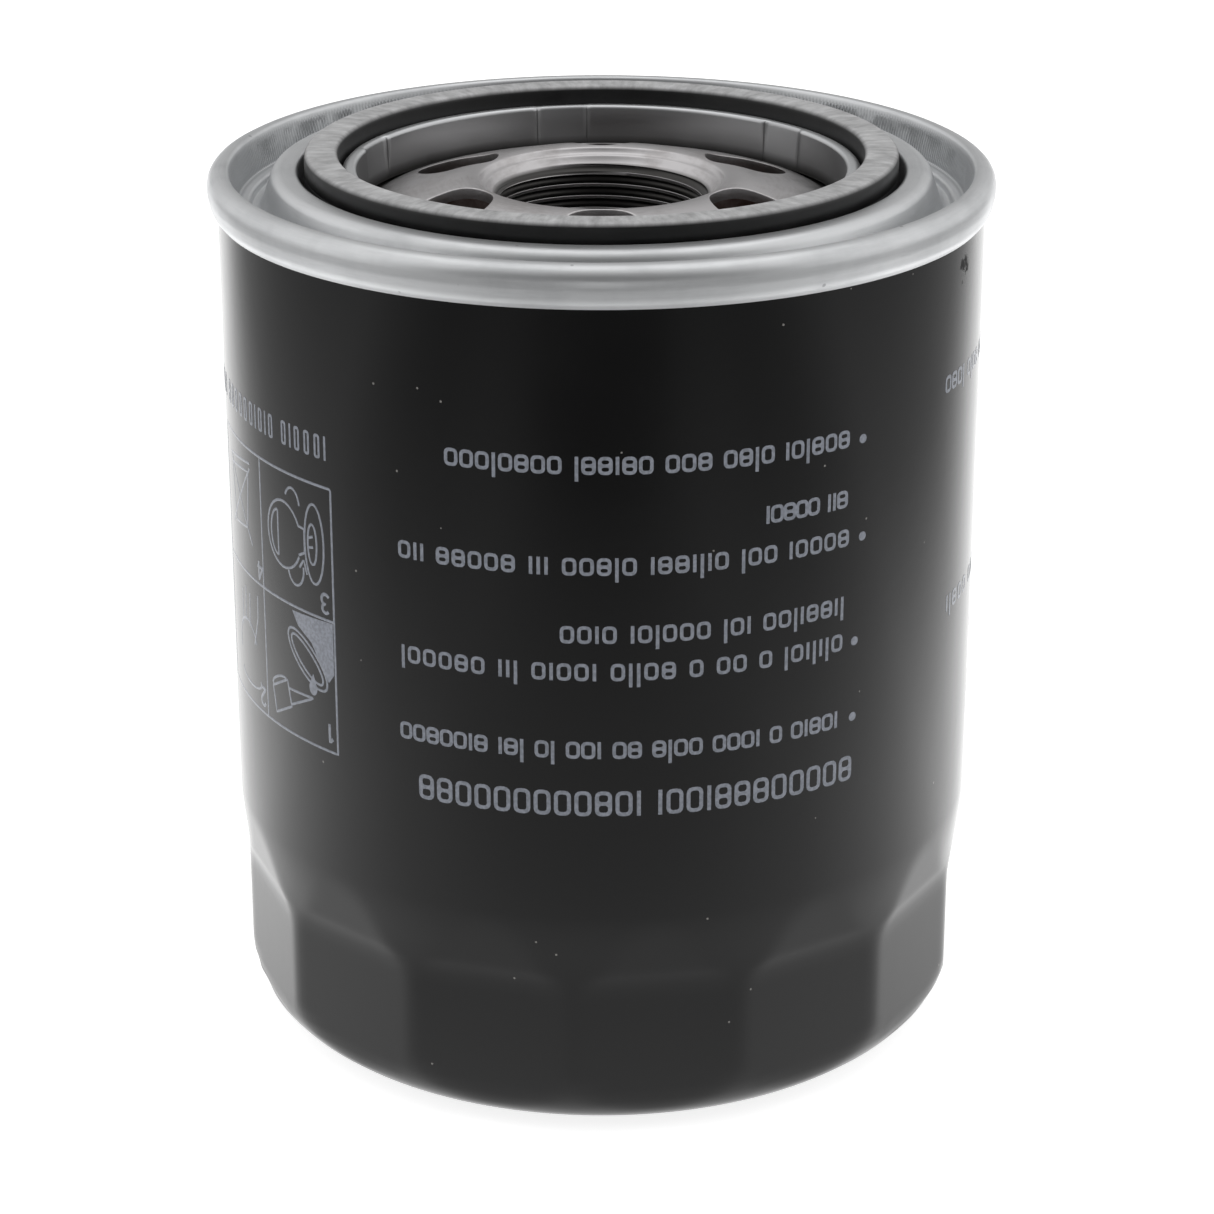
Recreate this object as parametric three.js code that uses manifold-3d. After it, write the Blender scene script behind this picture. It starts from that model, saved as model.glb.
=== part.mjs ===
// Spin-on oil filter, standing on its closed end with the threaded end up.
// Millimetres, +Z up. The origin is the centre of the foot, and angles are counted
// from -Y towards +X.

import * as THREE from 'three';
import { mergeVertices } from 'three/addons/utils/BufferGeometryUtils.js';
import Module from 'manifold-3d';

const wasm = await Module();
wasm.setup();

// Driving dimensions

const gap = 0.3; // left between pieces that touch
const degree = Math.PI / 180;

const can = { radius: 45.6, wall: 0.6, top: 104.9, bend: 7.6, footInner: 30.2, recess: 1.8, recessRadius: 27 };
const flats = { count: 14, apothem: 43.9, corner: 44.9, top: 20, blendTop: 29.4, turn: -4.35 * degree };

const lid = { sheet: 0.5, floor: 101.9, ledge: 102.7, wallTop: 106.7 };
const curl = { radius: 46.75, top: 107, bottom: 102.2, inner: 44.25 };
const ridge = { outer: 38, inner: 36.4, foot: 39.6 };
const groove = { outer: 35.7, inner: 30.9, wallInner: 29.1 };

const gasketSize = { outer: 35.25, inner: 31.2, top: 108.7, edge: 0.4 };

const thread = { major: 13, minor: 12.19, pitch: 1.5 };
const neck = { radius: 15, top: 103.8, bottom: 90.2, chamfer: 0.8 };
const plate = { flangeTop: 101.1, flangeRadius: 41, thickness: 2.8, crest: 105.1 };
const inlets = { count: 6, circle: 20.2, radius: 4.9 };

const cap = { sheet: 0.6, radius: 39.8, skirt: 4.1, topFace: 91.6, bottomFace: 15 };
const tube = { inner: 17.6, outer: 18.3, rows: 5, holesPerRow: 6, holeRadius: 2.8 };
const paper = { pleats: 36, outer: 37.6, inner: 19.2, thickness: 0.8, outerFold: 0.7, innerFold: 0.45 };

const valveDisc = { lip: 31, under: 95.6, collar: 2.3 };
const bypass = { seat: 17.4, port: 8.4, disc: 10.2, stem: 2.4, cageRadius: 13.6, cageTop: 35 };

// Helpers

// Corners [r, z]; a third value rounds that corner to about that bend radius, in so many steps.
function bent(corners) {
  const path = [];
  corners.forEach(([r, z, radius, steps = 1], i) => {
    if (!radius) {
      path.push([r, z]);
      return;
    }
    const here = new THREE.Vector2(r, z);
    const back = new THREE.Vector2(...corners[i - 1]).sub(here).normalize();
    const onward = new THREE.Vector2(...corners[i + 1]).sub(here).normalize();
    const reach = radius / Math.tan(back.angleTo(onward) / 2);
    const start = here.clone().addScaledVector(back, reach);
    const end = here.clone().addScaledVector(onward, reach);
    const bend = new THREE.QuadraticBezierCurve(start, here, end);
    bend.getPoints(steps).forEach((point) => path.push([point.x, point.y]));
  });
  return path;
}

// The path moved sideways by a distance, to its left as it runs; a closed path has no ends.
function beside(path, distance, closed = false) {
  const last = path.length - 1;
  return path.map((point, i) => {
    const before = path[i > 0 ? i - 1 : closed ? last : 0];
    const after = path[i < last ? i + 1 : closed ? 0 : last];
    const here = new THREE.Vector2(...point);
    const arriving = here.clone().sub(new THREE.Vector2(...before)).normalize();
    const leaving = new THREE.Vector2(...after).sub(here).normalize();
    const along = arriving.clone().add(leaving).normalize();
    const widen = distance / along.dot(arriving.lengthSq() > 0 ? arriving : leaving);
    return [here.x - along.y * widen, here.y + along.x * widen];
  });
}

// The closed outline of sheet metal: its outer face follows the path, its metal is on the left.
function sheetOutline(path, thickness) {
  return [...path, ...beside(path, thickness).reverse()];
}

// A closed mesh as a solid, with its shared vertices merged and its empty triangles dropped.
function solid(geometry) {
  geometry.deleteAttribute('normal');
  geometry.deleteAttribute('uv');
  const merged = mergeVertices(geometry);
  const corners = merged.index.array;
  const kept = [];
  for (let i = 0; i < corners.length; i += 3) {
    const triangle = [corners[i], corners[i + 1], corners[i + 2]];
    if (new Set(triangle).size === 3) kept.push(...triangle);
  }
  const vertProperties = merged.attributes.position.array;
  const mesh = new wasm.Mesh({ numProp: 3, vertProperties, triVerts: new Uint32Array(kept) });
  return new wasm.Manifold(mesh);
}

// A closed outline, or one that starts and ends on the axis, turned about Z.
function turned(outline, segments = 30, startAngle = 0) {
  const points = outline.map(([r, z]) => new THREE.Vector2(r, z));
  if (outline[0][0] > 0) points.push(points[0].clone());
  const geometry = new THREE.LatheGeometry(points, segments, startAngle);
  geometry.rotateX(Math.PI / 2);
  return solid(geometry);
}

function ring(inner, outer, bottom, top, segments) {
  return turned([[inner, bottom], [outer, bottom], [outer, top], [inner, top]], segments);
}

// A right-handed coil. The section's x is outwards and its y is up; the coil runs from its
// lower end to its upper end while its radius goes from lowRadius to highRadius.
function coil(section, { lowRadius, highRadius, low, high, turns, stepsPerTurn }) {
  const steps = Math.ceil(turns * stepsPerTurn);
  const geometry = new THREE.ExtrudeGeometry(section, { depth: 1, steps, bevelEnabled: false });
  const place = geometry.attributes.position;
  for (let i = 0; i < place.count; i++) {
    const progress = 1 - place.getZ(i);
    const angle = progress * turns * 2 * Math.PI;
    const radius = THREE.MathUtils.lerp(lowRadius, highRadius, progress) + place.getX(i);
    const height = THREE.MathUtils.lerp(low, high, progress) + place.getY(i);
    place.setXYZ(i, radius * Math.cos(angle), radius * Math.sin(angle), height);
  }
  return solid(geometry);
}

// A coil spring of round wire between two faces, with the usual gap to each.
function spring({ wire, under, over, lowRadius, highRadius, turns }) {
  const section = new THREE.Shape(new THREE.EllipseCurve(0, 0, wire / 2, wire / 2).getPoints(6).slice(0, -1));
  const low = under + gap + wire / 2;
  const high = over - gap - wire / 2;
  return coil(section, { lowRadius, highRadius, low, high, turns, stepsPerTurn: 12 });
}

// An outline in the XY plane pulled up from one height to another.
function pulledUp(outline, bottom, top) {
  const geometry = new THREE.ExtrudeGeometry(outline, { depth: top - bottom, bevelEnabled: false });
  return solid(geometry.translate(0, 0, bottom));
}

// Round holes along Z, evenly spaced on a circle, with the first at -Y.
function drillings(count, circle, radius, bottom, top) {
  const drills = [];
  for (let i = 0; i < count; i++) {
    const angle = (i / count) * 2 * Math.PI;
    const drill = new THREE.CylinderGeometry(radius, radius, top - bottom, 12).rotateX(Math.PI / 2);
    drill.translate(circle * Math.sin(angle), -circle * Math.cos(angle), (top + bottom) / 2);
    drills.push(solid(drill));
  }
  return drills;
}

const filter = new THREE.Group();

function addPiece(name, piece, color, roughness, metalness) {
  const mesh = piece.getMesh();
  const geometry = new THREE.BufferGeometry();
  geometry.setAttribute('position', new THREE.BufferAttribute(mesh.vertProperties, 3));
  geometry.setIndex(new THREE.BufferAttribute(mesh.triVerts, 1));
  const material = new THREE.MeshStandardMaterial({ color, roughness, metalness });
  const node = new THREE.Mesh(geometry, material);
  node.name = name;
  filter.add(node);
}

// Canister: a drawn steel cup with wrench flats pressed into its closed end

// The cup's skin, moved inwards by an inset: a turned body trimmed by a prism for the flats.
function canBody(inset, top) {
  const { radius, bend, footInner, recess, recessRadius } = can;
  const { apothem, corner, blendTop } = flats;
  const floor = inset;
  const outline = bent([
    [0, recess + floor],
    [recessRadius, recess + floor],
    [footInner, floor],
    [corner - inset, floor, bend - inset, 4],
    [corner - inset, flats.top],
    [radius - inset, blendTop],
    [radius - inset, top],
    [0, top],
  ]);
  const outOfWay = radius + 3;
  const cornerPerApothem = 1 / Math.cos(Math.PI / flats.count);
  const prismOutline = [
    [0, -1],
    [(apothem - inset) * cornerPerApothem, -1],
    [(apothem - inset) * cornerPerApothem, flats.top],
    [(radius - inset) * cornerPerApothem, blendTop],
    [outOfWay * cornerPerApothem, blendTop + 1],
    [outOfWay * cornerPerApothem, top + 1],
    [0, top + 1],
  ];
  const sidesPerFlat = 4;
  const body = turned(outline, flats.count * sidesPerFlat, flats.turn);
  return body.intersect(turned(prismOutline, flats.count, flats.turn));
}

addPiece('canister', canBody(0, can.top).subtract(canBody(can.wall, can.top + 2)), '#17171a', 0.35, 0.2);

// Seaming lid: one sheet, from the curl over the can's edge to the wall inside the gasket

const lidPath = bent([
  [can.radius + gap, curl.bottom],
  [curl.radius, curl.bottom, 0.8, 2],
  [curl.radius, curl.top, 1.7, 3],
  [curl.inner, curl.top, 0.9, 2],
  [curl.inner - 1, lid.ledge],
  [41.8, lid.ledge, 0.5],
  [41.7, lid.floor],
  [ridge.foot, lid.floor],
  [ridge.outer, lid.wallTop, 0.8],
  [ridge.inner, lid.wallTop, 0.6],
  [groove.outer, lid.floor],
  [groove.inner, lid.floor],
  [groove.inner, lid.wallTop, 0.85],
  [groove.wallInner, lid.wallTop, 0.85],
  [groove.wallInner, plate.flangeTop + gap],
]);

addPiece('seaming_lid', turned(sheetOutline(lidPath, lid.sheet), 36), '#b9bbbc', 0.4, 0.9);

const compoundTop = curl.top - lid.sheet - 0.6;
addPiece('seam_compound', ring(44.9, 45.4, can.top + gap, compoundTop, 36), '#8a8578', 0.8, 0);

// Gasket: a square rubber ring that stands proud of the lid

const gasketBottom = lid.floor + gap;
const gasketOutline = bent([
  [gasketSize.inner, gasketBottom + 1],
  [gasketSize.inner, gasketBottom, gasketSize.edge],
  [gasketSize.outer, gasketBottom, gasketSize.edge],
  [gasketSize.outer, gasketSize.top, gasketSize.edge],
  [gasketSize.inner, gasketSize.top, gasketSize.edge],
  [gasketSize.inner, gasketBottom + 1],
]).slice(0, -1);

addPiece('gasket', turned(gasketOutline, 36), '#2a2a2c', 0.6, 0);

// Base plate: thick steel, domed, with a ring of inlets and a threaded neck drawn inwards

const underFlange = plate.flangeTop - plate.thickness;
const plateOutline = bent([
  [thread.minor, neck.top - neck.chamfer],
  [thread.major + 0.1, neck.top],
  [14.2, plate.crest - 0.1, 0.6],
  [16.4, plate.crest, 0.8],
  [24, 103.2],
  [27.2, 102.2],
  [28.8, plate.flangeTop],
  [plate.flangeRadius, plate.flangeTop],
  [plate.flangeRadius, underFlange],
  [28, underFlange],
  [23.4, 100.4],
  [neck.radius + 2, 101.9],
  [neck.radius, 100.2],
  [neck.radius, neck.bottom + 0.5],
  [neck.radius - 0.5, neck.bottom],
  [thread.minor + neck.chamfer, neck.bottom],
  [thread.minor, neck.bottom + neck.chamfer],
]).reverse();

function threadCutter() {
  const { major, minor, pitch } = thread;
  const reach = 0.2; // how far the cutter starts inside the bore
  const mouth = (pitch * 3) / 8 + reach * Math.tan(30 * degree);
  const root = pitch / 16;
  const section = new THREE.Shape([
    new THREE.Vector2(-reach, -mouth),
    new THREE.Vector2(major - minor, -root),
    new THREE.Vector2(major - minor, root),
    new THREE.Vector2(-reach, mouth),
  ]);
  const low = neck.bottom - pitch;
  const high = neck.top + pitch;
  const turns = (high - low) / pitch;
  return coil(section, { lowRadius: minor, highRadius: minor, low, high, turns, stepsPerTurn: 15 });
}

let basePlate = turned(plateOutline, 30);
for (const drill of drillings(inlets.count, inlets.circle, inlets.radius, 95, 110)) {
  basePlate = basePlate.subtract(drill);
}
addPiece('base_plate', basePlate.subtract(threadCutter()), '#a9abae', 0.35, 1);

// Drain-back valve: a dished rubber disc that slides on the neck, pushed up by a light spring

const boreOnNeck = neck.radius + gap;
const lipTop = underFlange - gap;
const valveOutline = bent([
  [boreOnNeck, valveDisc.under - 1],
  [boreOnNeck + valveDisc.collar, valveDisc.under - 1, 0.4],
  [boreOnNeck + valveDisc.collar + 0.5, valveDisc.under],
  [27, valveDisc.under],
  [valveDisc.lip - 0.4, valveDisc.under + 1, 0.4],
  [valveDisc.lip, lipTop, 0.4],
  [valveDisc.lip - 1.8, lipTop, 0.3],
  [27.4, valveDisc.under + 1.5],
  [18.4, valveDisc.under + 1.4],
  [17.2, valveDisc.under + 2.2],
  [boreOnNeck, valveDisc.under + 2.2],
]);
addPiece('drainback_valve', turned(valveOutline), '#4a2420', 0.65, 0);

const washerBottom = valveDisc.under - gap - cap.sheet;
addPiece('drainback_washer', ring(18.6, 26.6, washerBottom, washerBottom + cap.sheet), '#9b9da0', 0.4, 0.9);

const lightCoil = { wire: 0.7, under: cap.topFace, over: washerBottom, lowRadius: 25, highRadius: 20.5, turns: 2.25 };
addPiece('drainback_spring', spring(lightCoil), '#8d8f92', 0.35, 1);

// Filter element: pleated paper potted between two end caps around a perforated tube

const topUnderside = cap.topFace - cap.sheet;
const bottomUpside = cap.bottomFace + cap.sheet;
const grommetLip = 1;
const grommetWaist = neck.radius + 1.3;
const grommetOutline = [
  [boreOnNeck, topUnderside - gap - grommetLip],
  [17.2, topUnderside - gap - grommetLip],
  [17.2, topUnderside - gap],
  [grommetWaist, topUnderside - gap],
  [grommetWaist, cap.topFace + gap],
  [18, cap.topFace + gap],
  [17.6, cap.topFace + gap + grommetLip],
  [boreOnNeck, cap.topFace + gap + grommetLip],
];
addPiece('element_grommet', turned(grommetOutline), '#222224', 0.7, 0);

const topCapPath = bent([
  [cap.radius, cap.topFace - cap.skirt],
  [cap.radius, cap.topFace, 0.7],
  [grommetWaist + gap, cap.topFace],
]);
addPiece('top_end_cap', turned(sheetOutline(topCapPath, cap.sheet), 36), '#8f9295', 0.45, 0.9);

const portHole = bypass.port + 1.1;
const bottomCapPath = bent([
  [portHole, cap.bottomFace],
  [cap.radius, cap.bottomFace, 0.7],
  [cap.radius, cap.bottomFace + cap.skirt],
]);
addPiece('bottom_end_cap', turned(sheetOutline(bottomCapPath, cap.sheet), 36), '#8f9295', 0.45, 0.9);

const potting = { inner: tube.outer + gap, outer: cap.radius - cap.sheet - gap, depth: 1.8 };
const topPottingTop = topUnderside - gap;
const topPotting = ring(potting.inner, potting.outer, topPottingTop - potting.depth, topPottingTop);
addPiece('top_potting', topPotting, '#b8862e', 0.5, 0);
const bottomPottingBottom = bottomUpside + gap;
const bottomPottingTop = bottomPottingBottom + potting.depth;
const bottomPotting = ring(potting.inner, potting.outer, bottomPottingBottom, bottomPottingTop);
addPiece('bottom_potting', bottomPotting, '#b8862e', 0.5, 0);

function perforatedTube() {
  let wall = ring(tube.inner, tube.outer, bottomUpside + gap, topUnderside - gap, 36);
  const spacing = (topUnderside - bottomUpside) / (tube.rows + 1);
  for (let row = 0; row < tube.rows; row++) {
    for (let hole = 0; hole < tube.holesPerRow / 2; hole++) {
      const angle = ((hole + (row % 2) / 2) / tube.holesPerRow) * 2 * Math.PI;
      const punch = new THREE.CylinderGeometry(tube.holeRadius, tube.holeRadius, 3 * tube.outer, 6);
      punch.rotateZ(angle).translate(0, 0, bottomUpside + spacing * (row + 1));
      wall = wall.subtract(solid(punch));
    }
  }
  return wall;
}
addPiece('centre_tube', perforatedTube(), '#a3a5a8', 0.4, 0.9);

const paperBottom = bottomPottingTop + gap;
const paperTop = topPottingTop - potting.depth - gap;

function pleatedPaper() {
  const folds = [];
  for (let i = 0; i < paper.pleats; i++) {
    for (const [radius, halfFold, shift] of [[paper.outer, paper.outerFold, 0], [paper.inner, paper.innerFold, 0.5]]) {
      const middle = ((i + shift) / paper.pleats) * 2 * Math.PI;
      for (const side of [-1, 1]) {
        const angle = middle + (side * halfFold) / radius;
        folds.push([radius * Math.cos(angle), radius * Math.sin(angle)]);
      }
    }
  }
  const toVectors = (path) => path.map(([x, y]) => new THREE.Vector2(x, y));
  const outline = new THREE.Shape(toVectors(beside(folds, -paper.thickness / 2, true)));
  outline.holes.push(new THREE.Path(toVectors(beside(folds, paper.thickness / 2, true))));
  return pulledUp(outline, paperBottom, paperTop);
}
addPiece('pleated_media', pleatedPaper(), '#d9c48a', 0.9, 0);

// The clip pinches the paper's two ends over the fold at +X.
function seamClip() {
  const inside = paper.outer + paper.thickness / 2 + gap;
  const halfWidth = paper.outerFold + paper.thickness / 2 + gap;
  const metal = 0.5;
  const legEnd = inside - 5;
  const outline = new THREE.Shape([
    new THREE.Vector2(legEnd, -halfWidth - metal),
    new THREE.Vector2(inside + metal, -halfWidth - metal),
    new THREE.Vector2(inside + metal, halfWidth + metal),
    new THREE.Vector2(legEnd, halfWidth + metal),
    new THREE.Vector2(legEnd, halfWidth),
    new THREE.Vector2(inside, halfWidth),
    new THREE.Vector2(inside, -halfWidth),
    new THREE.Vector2(legEnd, -halfWidth),
  ]);
  return pulledUp(outline, paperBottom + gap, paperTop - gap);
}
addPiece('media_seam_clip', seamClip(), '#a3a5a8', 0.4, 0.9);

// Bypass valve in the bottom end cap: a sprung poppet that lifts off its seat

const seatFlangeTop = cap.bottomFace - gap;
const seatOutline = [
  [bypass.port - 1, seatFlangeTop - 0.8],
  [12.4, seatFlangeTop - 0.8],
  [12.4, seatFlangeTop],
  [bypass.port + 0.8, seatFlangeTop],
  [bypass.port + 0.8, bypass.seat],
  [bypass.port, bypass.seat],
  [bypass.port, cap.bottomFace],
  [bypass.port - 1, seatFlangeTop],
];
addPiece('bypass_seat', turned(seatOutline), '#9b9da0', 0.4, 0.9);

const sealBottom = bypass.seat + gap;
const sealTop = sealBottom + 1.3;
const hub = 4.7;
addPiece('bypass_seal', ring(hub + gap, bypass.disc, sealBottom, sealTop), '#1f1f21', 0.7, 0);

const discBottom = sealTop + gap;
const discTop = discBottom + 0.8;
const poppetOutline = [
  [0, sealBottom],
  [hub, sealBottom],
  [hub, discBottom],
  [bypass.disc, discBottom],
  [bypass.disc, discTop],
  [4.2, discTop],
  [4.2, discTop + 1.4],
  [bypass.stem, discTop + 2],
  [bypass.stem, bypass.cageTop + 1],
  [bypass.stem - 0.6, bypass.cageTop + 1.6],
  [0, bypass.cageTop + 1.6],
];
addPiece('bypass_poppet', turned(poppetOutline, 24), '#9b9da0', 0.35, 0.9);

const cageUnderTop = bypass.cageTop - cap.sheet;
const bypassCoil = { wire: 1.1, under: discTop, over: cageUnderTop, lowRadius: 5.2, highRadius: 5.2, turns: 5 };
addPiece('bypass_spring', spring(bypassCoil), '#8d8f92', 0.35, 1);

function bypassCage() {
  const flangeTop = bottomUpside + gap + cap.sheet;
  const path = bent([
    [tube.inner - gap, flangeTop],
    [bypass.cageRadius, flangeTop, 0.4],
    [bypass.cageRadius, bypass.cageTop, 1],
    [bypass.stem + gap + 0.1, bypass.cageTop],
  ]);
  let cage = turned(sheetOutline(path, cap.sheet), 24);
  const windows = { width: 11, bottom: flangeTop + 1.5, top: cageUnderTop - 3 };
  for (const turn of [0, 90 * degree]) {
    const height = windows.top - windows.bottom;
    const window = new THREE.BoxGeometry(windows.width, 3 * bypass.cageRadius, height);
    window.rotateZ(turn).translate(0, 0, windows.bottom + height / 2);
    cage = cage.subtract(solid(window));
  }
  return cage;
}
addPiece('bypass_cage', bypassCage(), '#a3a5a8', 0.4, 0.9);

// Support spring: holds the element up against the neck

const floorInside = can.recess + can.wall;
const supportCoil = { wire: 2.2, under: floorInside, over: cap.bottomFace, lowRadius: 23.5, highRadius: 16, turns: 3 };
addPiece('support_spring', spring(supportCoil), '#7f8184', 0.35, 1);

export default filter;
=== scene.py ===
import bpy
import bmesh
import math
import numpy as np
from mathutils import Matrix, Vector


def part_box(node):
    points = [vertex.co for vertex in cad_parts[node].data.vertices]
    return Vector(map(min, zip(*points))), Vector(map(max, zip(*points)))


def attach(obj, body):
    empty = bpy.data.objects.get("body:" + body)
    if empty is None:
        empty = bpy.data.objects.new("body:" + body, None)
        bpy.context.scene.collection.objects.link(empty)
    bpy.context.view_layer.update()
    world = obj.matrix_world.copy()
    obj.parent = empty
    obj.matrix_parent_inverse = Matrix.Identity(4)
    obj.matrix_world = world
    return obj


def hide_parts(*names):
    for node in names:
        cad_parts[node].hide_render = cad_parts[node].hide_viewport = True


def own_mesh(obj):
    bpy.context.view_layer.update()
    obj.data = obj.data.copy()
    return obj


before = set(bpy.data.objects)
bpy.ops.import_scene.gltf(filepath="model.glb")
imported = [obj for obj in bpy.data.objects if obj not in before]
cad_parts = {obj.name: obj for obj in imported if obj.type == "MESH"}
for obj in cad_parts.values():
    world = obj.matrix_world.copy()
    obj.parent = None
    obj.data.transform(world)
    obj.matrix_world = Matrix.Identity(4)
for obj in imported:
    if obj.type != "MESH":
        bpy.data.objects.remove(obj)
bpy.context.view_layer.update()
print("frame loaded:", len(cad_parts), "nodes")

mm = 0.001  # outlines are written in millimetres, meshes are in metres
degree = math.pi / 180


def span(node):  # a turned node's radius, bottom and top, in millimetres
    low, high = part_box(node)
    return max(high.x, high.y) / mm, low.z / mm, high.z / mm


def placed(name, data):  # a new object, in the scene
    thing = bpy.data.objects.new(name, data)
    bpy.context.scene.collection.objects.link(thing)
    return thing


def evaluated(host):  # the host's mesh with its modifiers worked in; the host is removed
    result = bpy.data.meshes.new_from_object(host.evaluated_get(bpy.context.evaluated_depsgraph_get()))
    bpy.data.objects.remove(host)
    return result


# node trees, for materials and geometry alike

class Value:  # a node's output, so that sums of outputs are written as sums
    def __init__(self, socket):
        self.socket, self.tree = socket, socket.id_data

    def __add__(self, other):
        return calc("ADD", self, other)

    def __sub__(self, other):
        return calc("SUBTRACT", self, other)

    def __rsub__(self, other):
        return calc("SUBTRACT", other, self)

    def __mul__(self, other):
        return calc("MULTIPLY", self, other)

    def __truediv__(self, other):
        return calc("DIVIDE", self, other)


def addNode(tree, kind, inputs=None, **settings):
    node = tree.nodes.new(kind)
    for key, value in settings.items():
        setattr(node, key, value)
    for key, value in (inputs or {}).items():
        if isinstance(value, Value):
            tree.links.new(value.socket, node.inputs[key])
        else:
            node.inputs[key].default_value = value
    return node


def made(tree, kind, inputs=None, output=0, **settings):  # a new node's output
    return Value(addNode(tree, kind, inputs, **settings).outputs[output])


def treeOf(values):
    return next(value.tree for value in values if isinstance(value, Value))


def calc(operation, *values):
    return made(treeOf(values), "ShaderNodeMath", dict(enumerate(values)), operation=operation)


def ranged(value, low, high, toLow=0.0, toHigh=1.0, way="LINEAR"):
    inputs = {0: value, 1: low, 2: high, 3: toLow, 4: toHigh}
    return made(value.tree, "ShaderNodeMapRange", inputs, interpolation_type=way)


def combined(*parts):  # a vector from its x, y and z
    return made(treeOf(parts), "ShaderNodeCombineXYZ", dict(enumerate(parts)))


def separated(vector):
    return map(Value, addNode(vector.tree, "ShaderNodeSeparateXYZ", {0: vector}).outputs)


def roundAxis(radius, angle, height):  # a place from its radius and its angle
    return combined(radius * calc("COSINE", angle), radius * calc("SINE", angle), height)


# outlines in the plane of radius and height

def bent(corners, steps=5):  # a third value rounds a corner to that radius
    path = []
    for i, (r, z, *radius) in enumerate(corners):
        here = Vector((r, z))
        if not radius:
            path.append(here)
            continue
        back = (Vector(corners[i - 1][:2]) - here).normalized()
        onward = (Vector(corners[(i + 1) % len(corners)][:2]) - here).normalized()
        half = back.angle(onward) / 2
        centre = here + (back + onward).normalized() * radius[0] / math.sin(half)
        arm = here + back * radius[0] / math.tan(half) - centre
        turn = math.pi - 2 * half
        if onward.x * back.y - onward.y * back.x > 0:
            turn = -turn
        for step in range(steps + 1):
            path.append(centre + Matrix.Rotation(-turn * step / steps, 2) @ arm)
    return path


def beside(path, distance):  # the path moved to its left
    moved = []
    for i, here in enumerate(path):
        arriving = (here - path[i - 1]).normalized() if i else Vector((0, 0))
        leaving = (path[i + 1] - here).normalized() if i + 1 < len(path) else Vector((0, 0))
        along = (arriving + leaving).normalized()
        widen = distance / along.dot(leaving if i == 0 else arriving)
        moved.append(here + Vector((-along.y, along.x)) * widen)
    return moved


def sheetOutline(path, thickness):  # outer face along the path, metal on its left
    return path + beside(path, thickness)[::-1]


def turnedGrid(r, z, a):  # rows of radius, height and angle, as points in metres
    return np.stack([r * np.sin(a), -r * np.cos(a), z], -1).reshape(-1, 3) * mm


def gridFaces(rows, columns, closedRows, closedColumns, first=0):
    faces = []
    for i in range(rows if closedRows else rows - 1):
        for j in range(columns if closedColumns else columns - 1):
            below, above = i * columns, (i + 1) % rows * columns
            right = (j + 1) % columns
            faces.append([first + k for k in (below + j, below + right, above + right, above + j)])
    return faces


def plainMesh(name, points, edges=(), faces=()):
    mesh = bpy.data.meshes.new(name)
    mesh.from_pydata([tuple(p) for p in points], edges, faces)
    return mesh


def tidied(mesh, near=0.0000005):  # poles and seams closed
    work = bmesh.new()
    work.from_mesh(mesh)
    bmesh.ops.remove_doubles(work, verts=work.verts, dist=near)
    bmesh.ops.dissolve_degenerate(work, edges=work.edges, dist=near)
    work.to_mesh(mesh)
    work.free()
    return mesh


def revolved(name, outline, turns=180, shape=None):  # an outline that is closed, or ends on the axis
    section = np.array([tuple(p) for p in outline])
    onAxis = section[0, 0] < 1e-6
    angles = np.arange(turns) * 2 * math.pi / turns
    r = np.repeat(section[:, :1], turns, 1)
    z = np.repeat(section[:, 1:], turns, 1)
    a = np.tile(angles, (len(section), 1))
    if shape:
        r, z = shape(r, z, a)
    grid = gridFaces(len(section), turns, not onAxis, True)
    return tidied(plainMesh(name, turnedGrid(r, z, a), faces=grid))


def joined(name, meshes):
    work = bmesh.new()
    for mesh in meshes:
        work.from_mesh(mesh)
    whole = bpy.data.meshes.new(name)
    work.to_mesh(whole)
    work.free()
    return whole


def cutAway(mesh, cutter):  # the mesh with a closed cutter taken out
    host, tool = placed("cutHost", mesh), placed("cutTool", cutter)
    cut = host.modifiers.new("cut", "BOOLEAN")
    cut.operation, cut.object, cut.solver = "DIFFERENCE", tool, "EXACT"
    result = evaluated(host)
    bpy.data.objects.remove(tool)
    return result


def addPiece(name, mesh, materials, node, body="filter", sharp=34):
    mesh.name = name
    piece = placed(name, mesh)
    if not mesh.materials:
        for material in materials:
            mesh.materials.append(material)
    mesh.shade_smooth()
    mesh.set_sharp_from_angle(angle=sharp * degree)
    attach(piece, body)
    if node:
        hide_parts(node)
    return piece


# geometry node trees

def newTree(name, sockets):
    tree = bpy.data.node_groups.new(name, "GeometryNodeTree")
    tree.interface.new_socket("Geometry", in_out="INPUT", socket_type="NodeSocketGeometry")
    for label, kind in sockets.items():
        tree.interface.new_socket(label, in_out="INPUT", socket_type="NodeSocket" + kind)
    tree.interface.new_socket("Geometry", in_out="OUTPUT", socket_type="NodeSocketGeometry")
    given = addNode(tree, "NodeGroupInput").outputs
    return tree, {socket.name: Value(socket) for socket in given if socket.name}


def endTree(geometry, material):  # every tree ends with real meshes and their material
    tree = geometry.tree
    real = made(tree, "GeometryNodeRealizeInstances", {"Geometry": geometry})
    finish = made(tree, "GeometryNodeSetMaterial", {"Geometry": real, "Material": material})
    addNode(tree, "NodeGroupOutput", {0: finish})
    return tree


def gathered(parts):  # several geometries as one
    join = addNode(parts[0].tree, "GeometryNodeJoinGeometry")
    for part in parts:
        part.tree.links.new(part.socket, join.inputs[0])
    return Value(join.outputs[0])


def grown(tree, values, source=None):  # the tree's result as a plain mesh
    host = placed("growHost", source or bpy.data.meshes.new("seedMesh"))
    modifier = host.modifiers.new("grow", "NODES")
    modifier.node_group = tree
    for item in tree.interface.items_tree:
        if item.in_out == "INPUT" and item.name in values:
            modifier[item.identifier] = values[item.name]
    return evaluated(host)


# materials

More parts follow.
